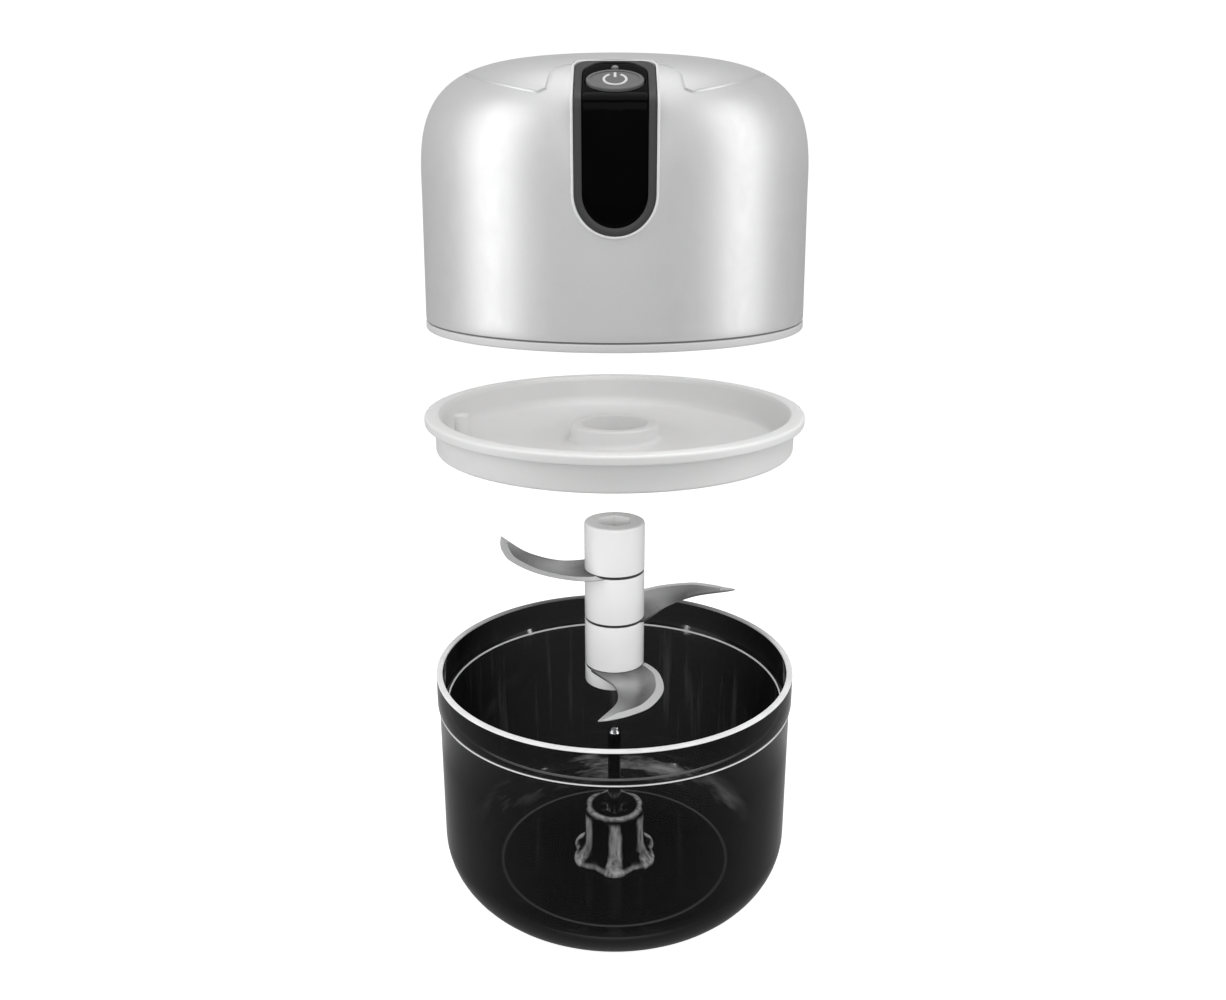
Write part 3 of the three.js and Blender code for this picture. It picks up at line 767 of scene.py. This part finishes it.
def spine_line(depth=0.0):
    """Side view of the control spine from its upper end to its foot, set in by a depth."""
    c, s = math.cos(SPINE_TILT), math.sin(SPINE_TILT)
    start = Vector((SPINE_TOP_Y + depth * s, SPINE_TOP_H - depth * c))
    reach = SPINE_SLOPE - depth * 0.27
    knee = start + Vector((-reach * c, -reach * s))
    front = SPINE_FRONT + depth
    bend = Vector((front - (front - knee.x) * 0.25, knee.y - 1.1))
    return [start, knee, bend, Vector((front, knee.y - 2.8)), Vector((front, SPINE_FOOT))]


def spine_curve():
    """The line of the face itself as close points with its corner rounded, as (y, height)."""
    start, knee, bend, turn, foot = spine_line()
    down = (knee - start).normalized()
    a = knee - down * 2.4
    points = [start + (a - start) * k / 6 for k in range(6)]
    for k in range(13):
        t = k / 12
        points.append(a * (1 - t) ** 3 + (knee + down * 0.4) * 3 * t * (1 - t) ** 2
                      + (bend + Vector((-0.35, 0.3))) * 3 * t * t * (1 - t) + turn * t ** 3)
    return points + [turn + (foot - turn) * k / 40 for k in range(1, 41)]


class SpineFace:
    """The rounded face of the spine: places from a distance down its line and a depth."""

    def __init__(self):
        self.points = spine_curve()
        self.along = [0.0]
        for a, b in zip(self.points, self.points[1:]):
            self.along.append(self.along[-1] + (b - a).length)
        self.length = self.along[-1]

    def at(self, x, distance, depth=0.0):
        """The point at x across and a distance down the line, sunk by a depth."""
        distance = min(max(distance, -3.0), self.length + 1.0)
        k = 0
        while k < len(self.points) - 2 and self.along[k + 1] < distance:
            k += 1
        a, b = self.points[k], self.points[k + 1]
        t = (distance - self.along[k]) / (self.along[k + 1] - self.along[k])
        here = a + (b - a) * t
        out = self.outward(distance)
        return Vector((x, here.x - out.x * depth, HEAD_Z + here.y - out.y * depth))

    def slope(self, k):
        a, b = self.points[max(k - 1, 0)], self.points[min(k + 1, len(self.points) - 1)]
        return (b - a).normalized()

    def outward(self, distance):
        k = 0
        while k < len(self.points) - 2 and self.along[k + 1] < distance:
            k += 1
        t = min(1.0, max(0.0, (distance - self.along[k]) / (self.along[k + 1] - self.along[k])))
        down = self.slope(k).lerp(self.slope(k + 1), t).normalized()
        return Vector((down.y, -down.x))


SPINE = SpineFace()


def window_outline(half, top, corner):
    """Outline of the window as (x, distance down the spine): a straight upper end with
    rounded corners and a half-round foot. It is set in by half less than the spine's own."""
    steps = 24
    foot = SPINE.length - SPINE_HALF
    points = []
    for k in range(9):
        turn = math.radians(90 * k / 8)
        points.append((half - corner + corner * math.sin(turn),
                       top + corner - corner * math.cos(turn)))
    for k in range(1, 60):
        points.append((half, top + corner + (foot - top - corner) * k / 60))
    for k in range(steps + 1):
        turn = math.pi * k / steps
        points.append((half * math.cos(turn), foot + half * math.sin(turn)))
    mirrored = [(-x, d) for x, d in reversed(points[:-steps - 1])]
    top_edge = [(-half + corner + (half - corner) * 2 * k / 10, top) for k in range(1, 10)]
    return points + mirrored + top_edge


def window_frame(section, half, top, corner=2.6, corner_step=-1.0, top_step=1.0):
    """A section of (distance in, depth) points carried round the window's outline. The corners
    and the upper end change with the distance in by their own steps."""
    rings = []
    for inset, _ in section:
        rounding = min(max(0.4, corner + corner_step * inset), half - inset)
        rings.append(window_outline(half - inset, top + top_step * inset, rounding))
    columns = len(rings[0])
    rows = len(section)

    def place(u, v):
        column = round(u * columns) % columns
        row = round(v * rows) % rows
        x, distance = rings[row][column]
        return SPINE.at(x, distance, section[row][1])

    return mapped(columns, rows, place)


def spine_cutter(extra, depth):
    """The spine's volume, larger all round, for the opening in the shell."""
    half = SPINE_HALF + extra
    front = SPINE_FRONT - 5
    side = [(SPINE_TOP_Y + extra - 3, SPINE_TOP_H + 5.2), (front, SPINE_TOP_H + 5.2),
            (front, SPINE_FOOT - 3), (SPINE_FRONT + depth, SPINE_FOOT - 3)]
    knee = spine_line(depth)[1]
    side += [(SPINE_FRONT + depth, knee.y - 2.8), tuple(knee)]
    side.append((SPINE_TOP_Y + extra + depth * 0.5, SPINE_TOP_H - depth * 0.87))
    bm = bmesh.new()
    bm.faces.new([bm.verts.new((-half, y, HEAD_Z + h)) for y, h in side])
    thickened(bm, (2 * half, 0, 0))
    foot = HEAD_Z + SPINE_FOOT + SPINE_HALF
    points = [(half, HEAD_Z + 70), (-half, HEAD_Z + 70)]
    for k in range(33):
        turn = math.pi + math.pi * k / 32
        points.append((half * math.cos(turn), foot + half * math.sin(turn)))
    plan = bmesh.new()
    plan.faces.new([plan.verts.new((x, -60, z)) for x, z in points])
    thickened(plan, (0, 45, 0))
    body = new_object("spine_volume", bm)
    tool = new_object("spine_mask", plan)
    step = body.modifiers.new("keep", "BOOLEAN")
    step.object = tool
    step.operation = "INTERSECT"
    graph = bpy.context.evaluated_depsgraph_get()
    result = bmesh.new()
    result.from_object(body, graph)
    bmesh.ops.scale(result, vec=(1 / MM,) * 3, verts=result.verts)
    bpy.data.objects.remove(body)
    bpy.data.objects.remove(tool)
    return result


def top_line_points():
    """The line round the head's top: a circle set forward, turned in beside the window."""
    neck = [(8.6, -34.0), (10.4, -34.0), (11.9, -34.5), (12.8, -35.7), (13.1, -37.2), (13.5, -38.5)]
    start = math.atan2(-38.6 - TOP_EDGE_Y, 15.4)
    arc = []
    for k in range(121):
        turn = start + (math.pi - 2 * start) * k / 120
        arc.append((TOP_EDGE_R * math.cos(turn), TOP_EDGE_Y + TOP_EDGE_R * math.sin(turn)))
    return neck + arc + [(-x, y) for x, y in reversed(neck)]


def top_line_cutter():
    """A round bar laid on the head's surface along the line, to press a groove."""
    curve = bpy.data.curves.new("top_line", "CURVE")
    curve.dimensions = "3D"
    curve.bevel_depth = LINE_R
    curve.bevel_resolution = 3
    curve.use_fill_caps = True
    points = top_line_points()
    spline = curve.splines.new("POLY")
    spline.points.add(len(points) - 1)
    for point, (x, y) in zip(spline.points, points):
        point.co = (x, y, HEAD_Z + head_height(math.hypot(x, y)) + 0.08, 1)
    bar = bpy.data.objects.new("top_line", curve)
    bpy.context.scene.collection.objects.link(bar)
    graph = bpy.context.evaluated_depsgraph_get()
    shape = bpy.data.meshes.new_from_object(bar.evaluated_get(graph))
    bm = bmesh.new()
    bm.from_mesh(shape)
    bpy.data.objects.remove(bar)
    bpy.data.meshes.remove(shape)
    bmesh.ops.remove_doubles(bm, verts=bm.verts, dist=0.001)
    return bm


def make_shell():
    shell = moved(turned(shell_outside() + shell_inside(), 288), z=HEAD_Z)
    port = moved(block(13, 10, 10, 0.8), 0, 44, HEAD_Z + 13.8)
    hinge = placed(drill(PORT_PIN_R, -8, 8, 24), PORT_HINGE)
    cuts = [top_line_cutter(), spine_cutter(PLAY, 6), port, hinge]
    piece("pearl_shell", shell, "head", "pearl_shell", ["head_shell"], 35, cuts=cuts)


def make_base():
    spigot = HEAD_R - SHELL_T - 0.6
    plate = turned(soften([
        (9.6, 0, 0.3), (HEAD_FOOT_R, 0, 0.55), (HEAD_FOOT_R, SEAM, 0.3), (spigot, SEAM),
        (spigot, 4.6, 0.3), (spigot - 1.6, 4.6, 0.3), (spigot - 1.6, 3, 0.4), (9.6, 3, 0.3),
    ], 4))
    bores = []
    for name in SCREWS:
        well = turned([(0, -1), (2.7, -1), (2.7, 1.7), (1.6, 1.7), (1.6, 5.2), (0, 5.2)], 32)
        bores.append(moved(well, *centre(name), HEAD_Z))
    bores.append(moved(drill(1.65, -1, 5), PEG_X, 0, HEAD_Z))
    piece("base_plate", moved(plate, z=HEAD_Z), "head", "white_plastic", ["head_base"], cuts=bores)
    inner, outer = HEAD_R - SHELL_T - 0.4, HEAD_FOOT_R - 0.34
    seam = turned(soften([(inner, SEAM + 0.02), (outer, SEAM + 0.02, 0.06),
                          (outer, SEAM + 0.28, 0.06), (inner, SEAM + 0.28)], 3))
    piece("seam_gasket", moved(seam, z=HEAD_Z), "head", "grey_rubber", materials=[SEAM_GREY])


def make_screws():
    for k, name in enumerate(SCREWS):
        x, y = centre(name)
        screw = turned(soften([
            (0, 0.1), (2.3, 0.1, 0.5), (2.3, 1.4, 0.2), (1.2, 1.4, 0.2), (1.2, 12, 0.3), (0, 13),
        ], 4, False), 48)
        slots = []
        for turn in (0.4 + k, 0.4 + k + TAU / 4):
            spot = Matrix.Translation((x, y, HEAD_Z + 0.2)) @ Matrix.Rotation(turn, 4, "Z")
            slots.append(placed(block(2.6, 0.55, 0.9, 0.05, 1), spot))
        piece(f"screw_{k + 1}", moved(screw, x, y, HEAD_Z), "head", "screw_steel", [name], cuts=slots)


def make_window():
    rim = [(0, RIM_T), (0, 0.32), (0.06, 0.12), (0.24, 0.02), (0.7, 0), (RIM_W - 0.25, 0.03),
           (RIM_W - 0.06, 0.1), (RIM_W, 0.3), (RIM_W, RIM_T)]
    bezel = window_frame(rim, SPINE_HALF, 0.0, 2.6, 1.5, TOP_THIN)
    piece("window_bezel_ring", bezel, "head", "bezel_grey", ["window_bezel"], 40)
    gap = RIM_W + 0.05
    sheet = [(0, 1.9), (0, 0.42), (0.12, 0.3), (0.45, 0.25)]
    inner = SPINE_HALF - gap
    for share in (0.2, 0.35, 0.5, 0.65, 0.8, 0.9, 1):
        sheet.append((inner * share, 0.25))
    sheet += [(inner, 1.9), (inner * 0.5, 1.9)]
    glass = window_frame(sheet, inner, gap * TOP_THIN + 0.04, 5.0)
    middle = [face for face in glass.faces if all(abs(v.co.x) < 1e-4 for v in face.verts)]
    bmesh.ops.delete(glass, geom=middle, context="FACES_ONLY")
    hole = placed(disc(BUTTON_A + PLAY, BUTTON_B + PLAY, -6, 3), face_matrix(BUTTON_AT))
    lamp = placed(disc(0.75, 0.75, -6, 3, 0, 24), face_matrix(LED_AT))
    piece("window_glass", glass, "head", "gloss_black", ["window_panel"], 40, cuts=[hole, lamp])
    lip = [(0.0, 1.6), (0.0, 0.25), (0.1, 0.06), (0.3, 0.0), (0.5, 0.08), (0.55, 0.25), (0.55, 1.6)]
    bead = window_frame(lip, SPINE_HALF + LIP_OUT, -LIP_OUT)
    # The lip gets the painted highlight material.
    piece("window_lip", bead, "head", "pearl_shell", (), 50, [LIP_PAINTED_HIGHLIGHT])


def face_matrix(distance):
    """The frame of the spine's tilted face at a distance down it: z outward, y up the slope."""
    y = SPINE_TOP_Y - distance * math.cos(SPINE_TILT)
    z = HEAD_Z + SPINE_TOP_H - distance * math.sin(SPINE_TILT)
    return Matrix.Translation((0, y, z)) @ Matrix.Rotation(SPINE_TILT, 4, "X")


def make_button():
    face = face_matrix(BUTTON_AT)
    cap = placed(disc(BUTTON_A, BUTTON_B, -1.7, 0.3, 0.28, 96), face)
    room = placed(disc(BUTTON_A - 0.75, BUTTON_B - 0.75, 0.16, 1.2, 0.0, 96), face)
    stem = placed(disc(1.6, 1.6, -3.2, -1.6, 0.0, 24), face)
    piece("button_cap", cap, "button", "button_grey", ["power_button"], 35, cuts=[room], added=stem)
    ring = turned(soften([(1.95, 0.12), (2.45, 0.12), (2.45, 0.3, 0.06), (1.95, 0.3, 0.06)], 2),
                  60, math.radians(300))
    placed(placed(ring, Matrix.Rotation(math.radians(120), 4, "Z")), face)
    piece("power_sign_ring", ring, "button", "mark_white", ["power_mark_ring"])
    bar = placed(moved(block(0.55, 1.9, 0.2, 0.06), 0, 1.75, 0.22), face)
    piece("power_sign_bar", bar, "button", "mark_white", ["power_mark_bar"])
    lamp = turned(soften([(0.58, -0.5), (0.72, -0.5), (0.72, 0.02, 0.05), (0.58, 0.02, 0.05)], 3), 40)
    piece("lamp_ring", placed(lamp, face_matrix(LED_AT)), "head", "button_grey")


def make_port():
    eye = turned([(PORT_PIN_R, -5.7), (1.15, -5.7), (1.15, 5.7), (PORT_PIN_R, 5.7)], 32)
    piece("port_flap_eye", placed(eye, PORT_HINGE), "port_flap", "grey_rubber")
    flap = moved(block(11.6, 1.3, 7.2, 0.55, 5), 0, 44.1, HEAD_Z + 14.6)
    bore = placed(drill(1, -8, 8), PORT_HINGE)
    grip = moved(block(5, 0.6, 0.7, 0.2), 0, 44.85, HEAD_Z + 17.2)
    piece("port_flap_cover", flap, "port_flap", "grey_rubber", ["port_cover"], cuts=[bore, grip])


def make_coupler():
    """The hexagon that drives the column, and the collar that holds it on the gearbox shaft."""
    drive = hexagon(4.2, -6.5, 0)
    round_edges(drive, [e for e in drive.edges if min(v.co.z for v in e.verts) < -6], 0.4, 3)
    bore = moved(drill(2.3, -4, 1), z=HEAD_Z)
    piece("drive_hex", moved(drive, z=HEAD_Z), "output", "white_plastic", ["drive_coupler"], cuts=[bore])
    collar = turned(soften([(2.2, -0.1), (4, -0.1, 0.2), (4, 8), (2.2, 8)], 2), 48)
    piece("drive_collar", moved(collar, z=HEAD_Z), "output", "white_plastic")


def make_spring():
    """The safety pin's coil spring, built at its resting length; the real spring shortens as the pin goes
    in.
    """
    start, end = low("safety_spring"), high("safety_spring")
    centre_x = centre("safety_spring")[0]
    coil_r = (end.x - start.x) / 2 - SPRING_WIRE
    length = end.z - start.z
    steps = SPRING_TURNS * 24
    bm = bmesh.new()
    bmesh.ops.create_circle(bm, segments=8, radius=SPRING_WIRE)
    bmesh.ops.rotate(bm, cent=(0, 0, 0), matrix=Matrix.Rotation(TAU / 4, 3, "X"), verts=bm.verts)
    bmesh.ops.translate(bm, vec=(coil_r, 0, start.z + SPRING_WIRE), verts=bm.verts)
    rise = (length - 2 * SPRING_WIRE) / steps
    bmesh.ops.spin(bm, geom=bm.verts[:] + bm.edges[:], cent=(0, 0, 0), axis=(0, 0, 1),
                   dvec=(0, 0, rise), angle=TAU * SPRING_TURNS, steps=steps)
    bmesh.ops.holes_fill(bm, edges=open_edges(bm), sides=0)
    spring = piece("safety_coil", moved(bm, centre_x), "head", "screw_steel", ["safety_spring"], 60)
    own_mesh(spring)


# ---- inner lid ----

def make_lid():
    under = LID_TOP - 2.3
    floor = LID_FOOT + 1.4
    wall = SKIRT_R - 1.7
    profile = soften([
        (HUB_BORE, LID_FOOT, 0.25), (SKIRT_R, LID_FOOT, 0.9), (SKIRT_R, under, 0.35), (LID_R, under, 0.5),
        (LID_R, LID_TOP, 0.75), (wall + 0.8, LID_TOP, 0.3), (wall + 0.1, LID_TOP - 1, 0.4),
        (wall - 0.3, floor + 1.6, 0.9), (wall - 2, floor, 0.9), (HUB_R + 0.3, floor, 0.9),
        (HUB_R, floor + 1, 0.4), (HUB_R, HUB_TOP, 0.7), (HUB_BORE, HUB_TOP, 0.5),
    ], 6)
    notches = []
    for side in (-1, 1):
        notches.append(moved(block(1.9, 3.4, 2.2, 0.3), side * (LID_R - 0.2), 0, LID_TOP))
    piece("lid_dish", turned(profile), "lid", "lid_plastic", ["inner_lid"], 35, cuts=notches)
    peg = turned(soften([(0, floor - 0.6), (2, floor - 0.6), (2, LID_TOP - 1.6, 0.5), (0, LID_TOP - 1.6)],
                        4, False), 40)
    piece("lid_peg", moved(peg, PEG_X), "lid", "lid_plastic")


# ---- blade column ----

def spline_at(points, share):
    """A smooth curve through (radius, degrees) points, at a share of its length."""
    flat = [Vector((r * math.cos(math.radians(a)), r * math.sin(math.radians(a)))) for r, a in points]
    at = share * (len(flat) - 1)
    k = min(int(at), len(flat) - 2)
    t = at - k
    p0, p1, p2, p3 = (flat[max(k - 1, 0)], flat[k], flat[k + 1], flat[min(k + 2, len(flat) - 1)])
    return 0.5 * (2 * p1 + (p2 - p0) * t + (2 * p0 - 5 * p1 + 4 * p2 - p3) * t * t
                  + (3 * p1 - p0 - 3 * p2 + p3) * t ** 3)


def blade_section(width):
    """(share across from the cutting edge, height) points round a blade's cross-section."""
    ground = min(0.45, GROUND_W / max(width, 0.01))
    half = BLADE_T / 2
    return [(0, -half), (0, -half + 0.12), (ground * 0.5, -0.02), (ground, half - 0.03),
            (ground * 1.04, half), (0.55, half), (0.96, half), (1, half - 0.12),
            (1, -half + 0.1), (0.96, -half), (0.5, -half)]


def make_blade(name):
    height = BLADE_Z[name]
    rise = BLADE_RISE[name]

    def place(u, v):
        lead, trail = spline_at(LEADING, u), spline_at(TRAILING, u)
        section = blade_section((lead - trail).length)
        share, lift = section[round(v * BLADE_ROWS) % BLADE_ROWS]
        lead_turn, trail_turn = math.atan2(lead.y, lead.x), math.atan2(trail.y, trail.x)
        radius = lead.length + (trail.length - lead.length) * share
        turn = lead_turn + (trail_turn - lead_turn) * share
        if u > 0.93:
            straight = lead.lerp(trail, share)
            radius, turn = straight.length, math.atan2(straight.y, straight.x)
        out = max(0.0, radius - HUB_EDGE) / (BLADE_R - HUB_EDGE)
        thin = 1 - 0.5 * max(0.0, u - 0.85) / 0.15
        return Vector((radius * math.cos(turn), radius * math.sin(turn),
                       height + rise * out ** 1.4 + lift * thin))

    arm = mapped(72, BLADE_ROWS, place)
    bmesh.ops.holes_fill(arm, edges=open_edges(arm), sides=0)
    half = BLADE_T / 2
    ring = turned(soften([(SPACER_BORE, height - half), (BLADE_RING_R, height - half, 0.08),
                          (BLADE_RING_R, height + half, 0.08), (SPACER_BORE, height + half)], 2),
                  SMALL_STEPS)
    turn = math.radians(BLADE_TURN[name])
    made = new_object(name + "_plate", placed(joined(arm, ring), Matrix.Rotation(turn, 4, "Z")))
    mark_ground(made.data, turn)
    finished(made, "blade_set", "blade_steel", [name], 25, [MATERIALS["blade_steel"], GROUND_STEEL])


def mark_ground(mesh, turn):
    """The bevel beside the cutting edge gets the brighter ground finish."""
    edge = [spline_at(LEADING, k / 160) for k in range(12, 161)]
    back = Matrix.Rotation(-turn, 2)
    for face in mesh.polygons:
        x, y, _ = face.center / MM
        here = back @ Vector((x, y))
        if here.length < COLUMN_R or face.normal.z < 0.1 or face.normal.z > 0.995:
            continue
        nearest = min((here - p).length for p in edge)
        if nearest < GROUND_W:
            face.material_index = 1


def make_column():
    """The four white spacers; the top one has the six-sided drive socket."""
    for name in ("column_foot", "column_lower", "column_middle"):
        start = low(name).z - (0 if name == "column_foot" else JOINT_CLOSE)
        end = high(name).z + JOINT_CLOSE
        sleeve = turned(soften([(SPACER_BORE, start), (COLUMN_R, start, 0.12),
                                (COLUMN_R, end, 0.12), (SPACER_BORE, end)], 3), SMALL_STEPS)
        piece(name + "_sleeve", sleeve, "blade_set", "white_plastic", [name], materials=[COLUMN_FINISH])
    start, end = low("column_top").z - JOINT_CLOSE, high("column_top").z
    core_top = high("column_core").z + PLAY
    cap = turned(soften([
        (0, core_top), (6.2, core_top), (6.2, start), (COLUMN_R, start, 0.18),
        (COLUMN_R, end, 0.75), (0, end),
    ], 6, False), SMALL_STEPS)
    socket = hexagon(4.6, end - 6.5, end + 1.5)
    piece("column_cap", cap, "blade_set", "white_plastic", ["column_top"],
          materials=[COLUMN_FINISH], cuts=[socket])


# ---- bowl ----

def bowl_corner(wall_radius, wall_z, flat_radius, flat_z):
    """Quarter oval from the flat base up to the wall."""
    steps = 16
    points = []
    for k in range(steps + 1):
        turn = TAU / 4 * k / steps
        points.append((flat_radius + (wall_radius - flat_radius) * math.sin(turn),
                       wall_z - (wall_z - flat_z) * math.cos(turn)))
    return points


def make_bowl():
    inner = BODY_R - WALL
    rim_z = BOWL_H - 0.5
    outside = [(0, 0), *bowl_corner(BODY_R, CORNER_Z, BASE_R, 0), (BODY_R, 30), (BODY_R, 44),
               (BODY_R, STEP_Z - 0.2), (BODY_R + 0.1, STEP_Z), (BOWL_R - 0.1, STEP_Z + 0.5),
               (BOWL_R, STEP_Z + 0.8), (BOWL_R, 60), (BOWL_R, rim_z)]
    inside = [(BOWL_R - 1.6, rim_z), (inner + 0.75, 60), (inner + 0.5, STEP_Z + 0.7), (inner, STEP_Z),
              (inner, 44), (inner, 30), *reversed(bowl_corner(inner, CORNER_Z + 2, BASE_R + 2, FLOOR_Z)),
              (0, FLOOR_Z)]
    made = new_object("bowl_wall", turned(outside + inside))
    mesh = made.data
    for face in mesh.polygons:
        x, y, z = face.center / MM
        radius = math.hypot(x, y)
        toward_axis = face.normal.x * x + face.normal.y * y < -0.3 * radius
        face.material_index = 1 if toward_axis or (face.normal.z > 0.02 and z < 30) else 0
    finished(made, "bowl", "clear_bowl", ["bowl"], 40, [MATERIALS["clear_bowl"], BOWL_INSIDE])


def make_bowl_edges():
    """The edges of the clear plastic that show as bright lines of painted light: the rim and the step's two
    sides.
    """
    inner = BODY_R - WALL
    rim = turned(soften([(BOWL_R - 1.6, BOWL_H - 0.48, 0.1), (BOWL_R - 0.02, BOWL_H - 0.48, 0.1),
                         (BOWL_R - 0.02, BOWL_H, 0.3), (BOWL_R - 1.6, BOWL_H, 0.3)], 4))
    piece("rim_edge", rim, "bowl", "clear_bowl", materials=[RIM_PAINTED_LIGHT])
    outer = turned([(BODY_R + 0.02, STEP_Z - 0.42), (BODY_R + 0.3, STEP_Z - 0.3),
                    (BODY_R + 0.36, STEP_Z - 0.02), (BODY_R + 0.02, STEP_Z - 0.02)])
    piece("step_edge_outside", outer, "bowl", "clear_bowl", materials=[STEP_PAINTED_LIGHT])
    step = turned([(inner - 0.02, STEP_Z - 0.25), (inner - 0.3, STEP_Z - 0.1), (inner - 0.3, STEP_Z + 0.2),
                   (inner - 0.02, STEP_Z + 0.3)])
    piece("step_edge_inside", step, "bowl", "clear_bowl", materials=[STEP_PAINTED_LIGHT])


def make_post():
    profile = soften([
        (0, FLOOR_Z + 0.05), (11.4, FLOOR_Z + 0.05), (11.4, FLOOR_Z + 0.9, 0.5), (9.2, 6.8, 0.9),
        (8.2, 9.4, 1.2), (8.2, 19.2, 0.5), (7.4, POST_TOP, 0.4), (4.6, POST_TOP, 0.3),
        (4.2, POST_TOP - 0.9, 0.3), (2.6, POST_TOP - 0.9, 0.3), (2.1, POST_TOP - 1.5), (2.1, 8.0), (0, 8.0),
    ], 5, False)
    post = turned(profile, POST_LOBES * 20)
    for vert in post.verts:
        radius = math.hypot(vert.co.x, vert.co.y)
        if radius > 5:
            turn = math.atan2(vert.co.y, vert.co.x)
            flute = 1 - FLUTE + 2 * FLUTE * abs(math.sin(POST_LOBES / 2 * turn))
            vert.co.x *= flute
            vert.co.y *= flute
    piece("bowl_post", post, "bowl", "clear_bowl", (), 50, [POST_GLASS])


def make_pin():
    start, end = low("centre_pin").z, high("centre_pin").z
    pin = turned(soften([(0, start), (1.8, start, 0.3), (1.8, end - 1, 0.4), (0.9, end, 0.3), (0, end)],
                        4, False), 40)
    piece("axle_pin", pin, "bowl", "pin_steel", ["centre_pin"])


# ---- the inner parts keep their CAD shape ----

def finish_nodes():
    for part in frame["record"]["subparts"]:
        node = frame["nodes"][part["node"]]
        node.data.materials.clear()
        node.data.materials.append(MATERIALS[part["material_slot"]])
    frame["nodes"]["led_lens"].data.materials[0] = LENS_GREY


# ---- stage, light and camera ----

def make_stage():
    bm = bmesh.new()
    bmesh.ops.create_circle(bm, cap_ends=True, segments=64, radius=6.0)
    mesh = bpy.data.meshes.new("floor")
    bm.to_mesh(mesh)
    bm.free()
    floor = bpy.data.objects.new("floor", mesh)
    bpy.context.scene.collection.objects.link(floor)
    paint = Finish("floor_paint", (0.6, 0.6, 0.6), 0.9, Specular_IOR_Level=0.0,
                   Emission_Color=(1, 1, 1, 1))
    paint.tint(paint.noise(3, 2), 0.99, 1.0)
    sight = paint.node("ShaderNodeLightPath").outputs["Is Camera Ray"]
    paint.link(paint.between(sight, 0.0, 0.86, 0.0, 1.0), paint.shader.inputs["Emission Strength"])
    mesh.materials.append(paint.material)
    floor.location.z = -0.0004


def add_light(name, place, aim, width, height, watts):
    """A soft rectangular lamp, turned towards a point."""
    light = bpy.data.lights.new(name, "AREA")
    light.shape = "RECTANGLE"
    light.size = width
    light.size_y = height
    light.energy = watts
    lamp = bpy.data.objects.new(name, light)
    lamp.location = place
    lamp.rotation_euler = (Vector(aim) - Vector(place)).to_track_quat("-Z", "Y").to_euler()
    bpy.context.scene.collection.objects.link(lamp)
    return lamp


def light_only(lamps, names):
    """These lamps light only the named pieces."""
    pieces = bpy.data.collections.new(lamps[0].name + "_pieces")
    for name in names:
        pieces.objects.link(bpy.data.objects[name])
    for lamp in lamps:
        lamp.light_linking.receiver_collection = pieces


def light_scene():
    world = bpy.data.worlds.new("studio")
    bpy.context.scene.world = world
    world.use_nodes = True
    nodes, links = world.node_tree.nodes, world.node_tree.links
    backdrop = nodes["Background"]
    backdrop.inputs["Color"].default_value = (1, 1, 1, 1)
    sight = nodes.new("ShaderNodeLightPath")
    strength = nodes.new("ShaderNodeMapRange")
    strength.inputs["To Min"].default_value = 0.34
    strength.inputs["To Max"].default_value = 1.05
    links.new(sight.outputs["Is Camera Ray"], strength.inputs["Value"])
    links.new(strength.outputs["Result"], backdrop.inputs["Strength"])
    middle = (0, 0, 0.11)
    add_light("left_bank", (-0.60, -0.20, 0.28), middle, 0.34, 0.8, 1.95)
    add_light("right_bank", (0.60, -0.16, 0.28), middle, 0.30, 0.8, 1.6)
    add_light("overhead", (0, -0.1, 0.95), middle, 0.9, 0.9, 2.6)
    add_light("front_fill", (0, -1.0, 0.5), middle, 1.0, 0.5, 1.5)
    strips = [
        add_light("left_strip", (-0.42, -0.30, 0.16), (0, 0, 0.03), 0.016, 0.5, 1.8),
        add_light("right_strip", (0.46, -0.22, 0.16), (0, 0, 0.03), 0.02, 0.5, 2.0),
        add_light("back_strip", (0.2, 0.6, 0.3), (0, 0, 0.04), 0.05, 0.3, 1.4),
    ]
    light_only(strips, ("bowl_wall", "bowl_post", "axle_pin"))
    column = ("column_cap", "column_middle_sleeve", "column_lower_sleeve", "column_foot_sleeve")
    light_only([add_light("column_fill", (0, -0.9, 0.3), middle, 0.7, 0.4, 3.6)], column)
    blades = tuple(name + "_plate" for name in BLADE_Z)
    light_only([add_light("blade_glow", (0.15, 0.9, 0.45), middle, 0.8, 0.5, 0.35)], blades)
    dish = ("lid_dish", "lid_peg", "column_cap")
    dish_light = add_light("dish_light", (0.3, -0.12, 0.85), (0, 0, 0.13), 0.5, 0.5, 2.0)
    light_only([dish_light], dish)
    dish_light.light_linking.blocker_collection = dish_light.light_linking.receiver_collection


def make_camera():
    lens = bpy.data.cameras.new("camera")
    lens.lens = 31.42
    lens.sensor_width = 36
    camera = bpy.data.objects.new("camera", lens)
    camera.location = (-0.0004, -0.26366, 0.1916)
    camera.rotation_euler = (math.radians(90 - 17.2), 0, 0)
    bpy.context.scene.collection.objects.link(camera)
    bpy.context.scene.camera = camera
    bpy.context.scene.view_settings.view_transform = "Standard"


finish_nodes()
make_shell()
make_base()
make_screws()
make_window()
make_button()
make_port()
make_coupler()
make_spring()
make_lid()
for blade_name in BLADE_Z:
    make_blade(blade_name)
make_column()
make_bowl()
make_bowl_edges()
make_post()
make_pin()
make_stage()
light_scene()
make_camera()
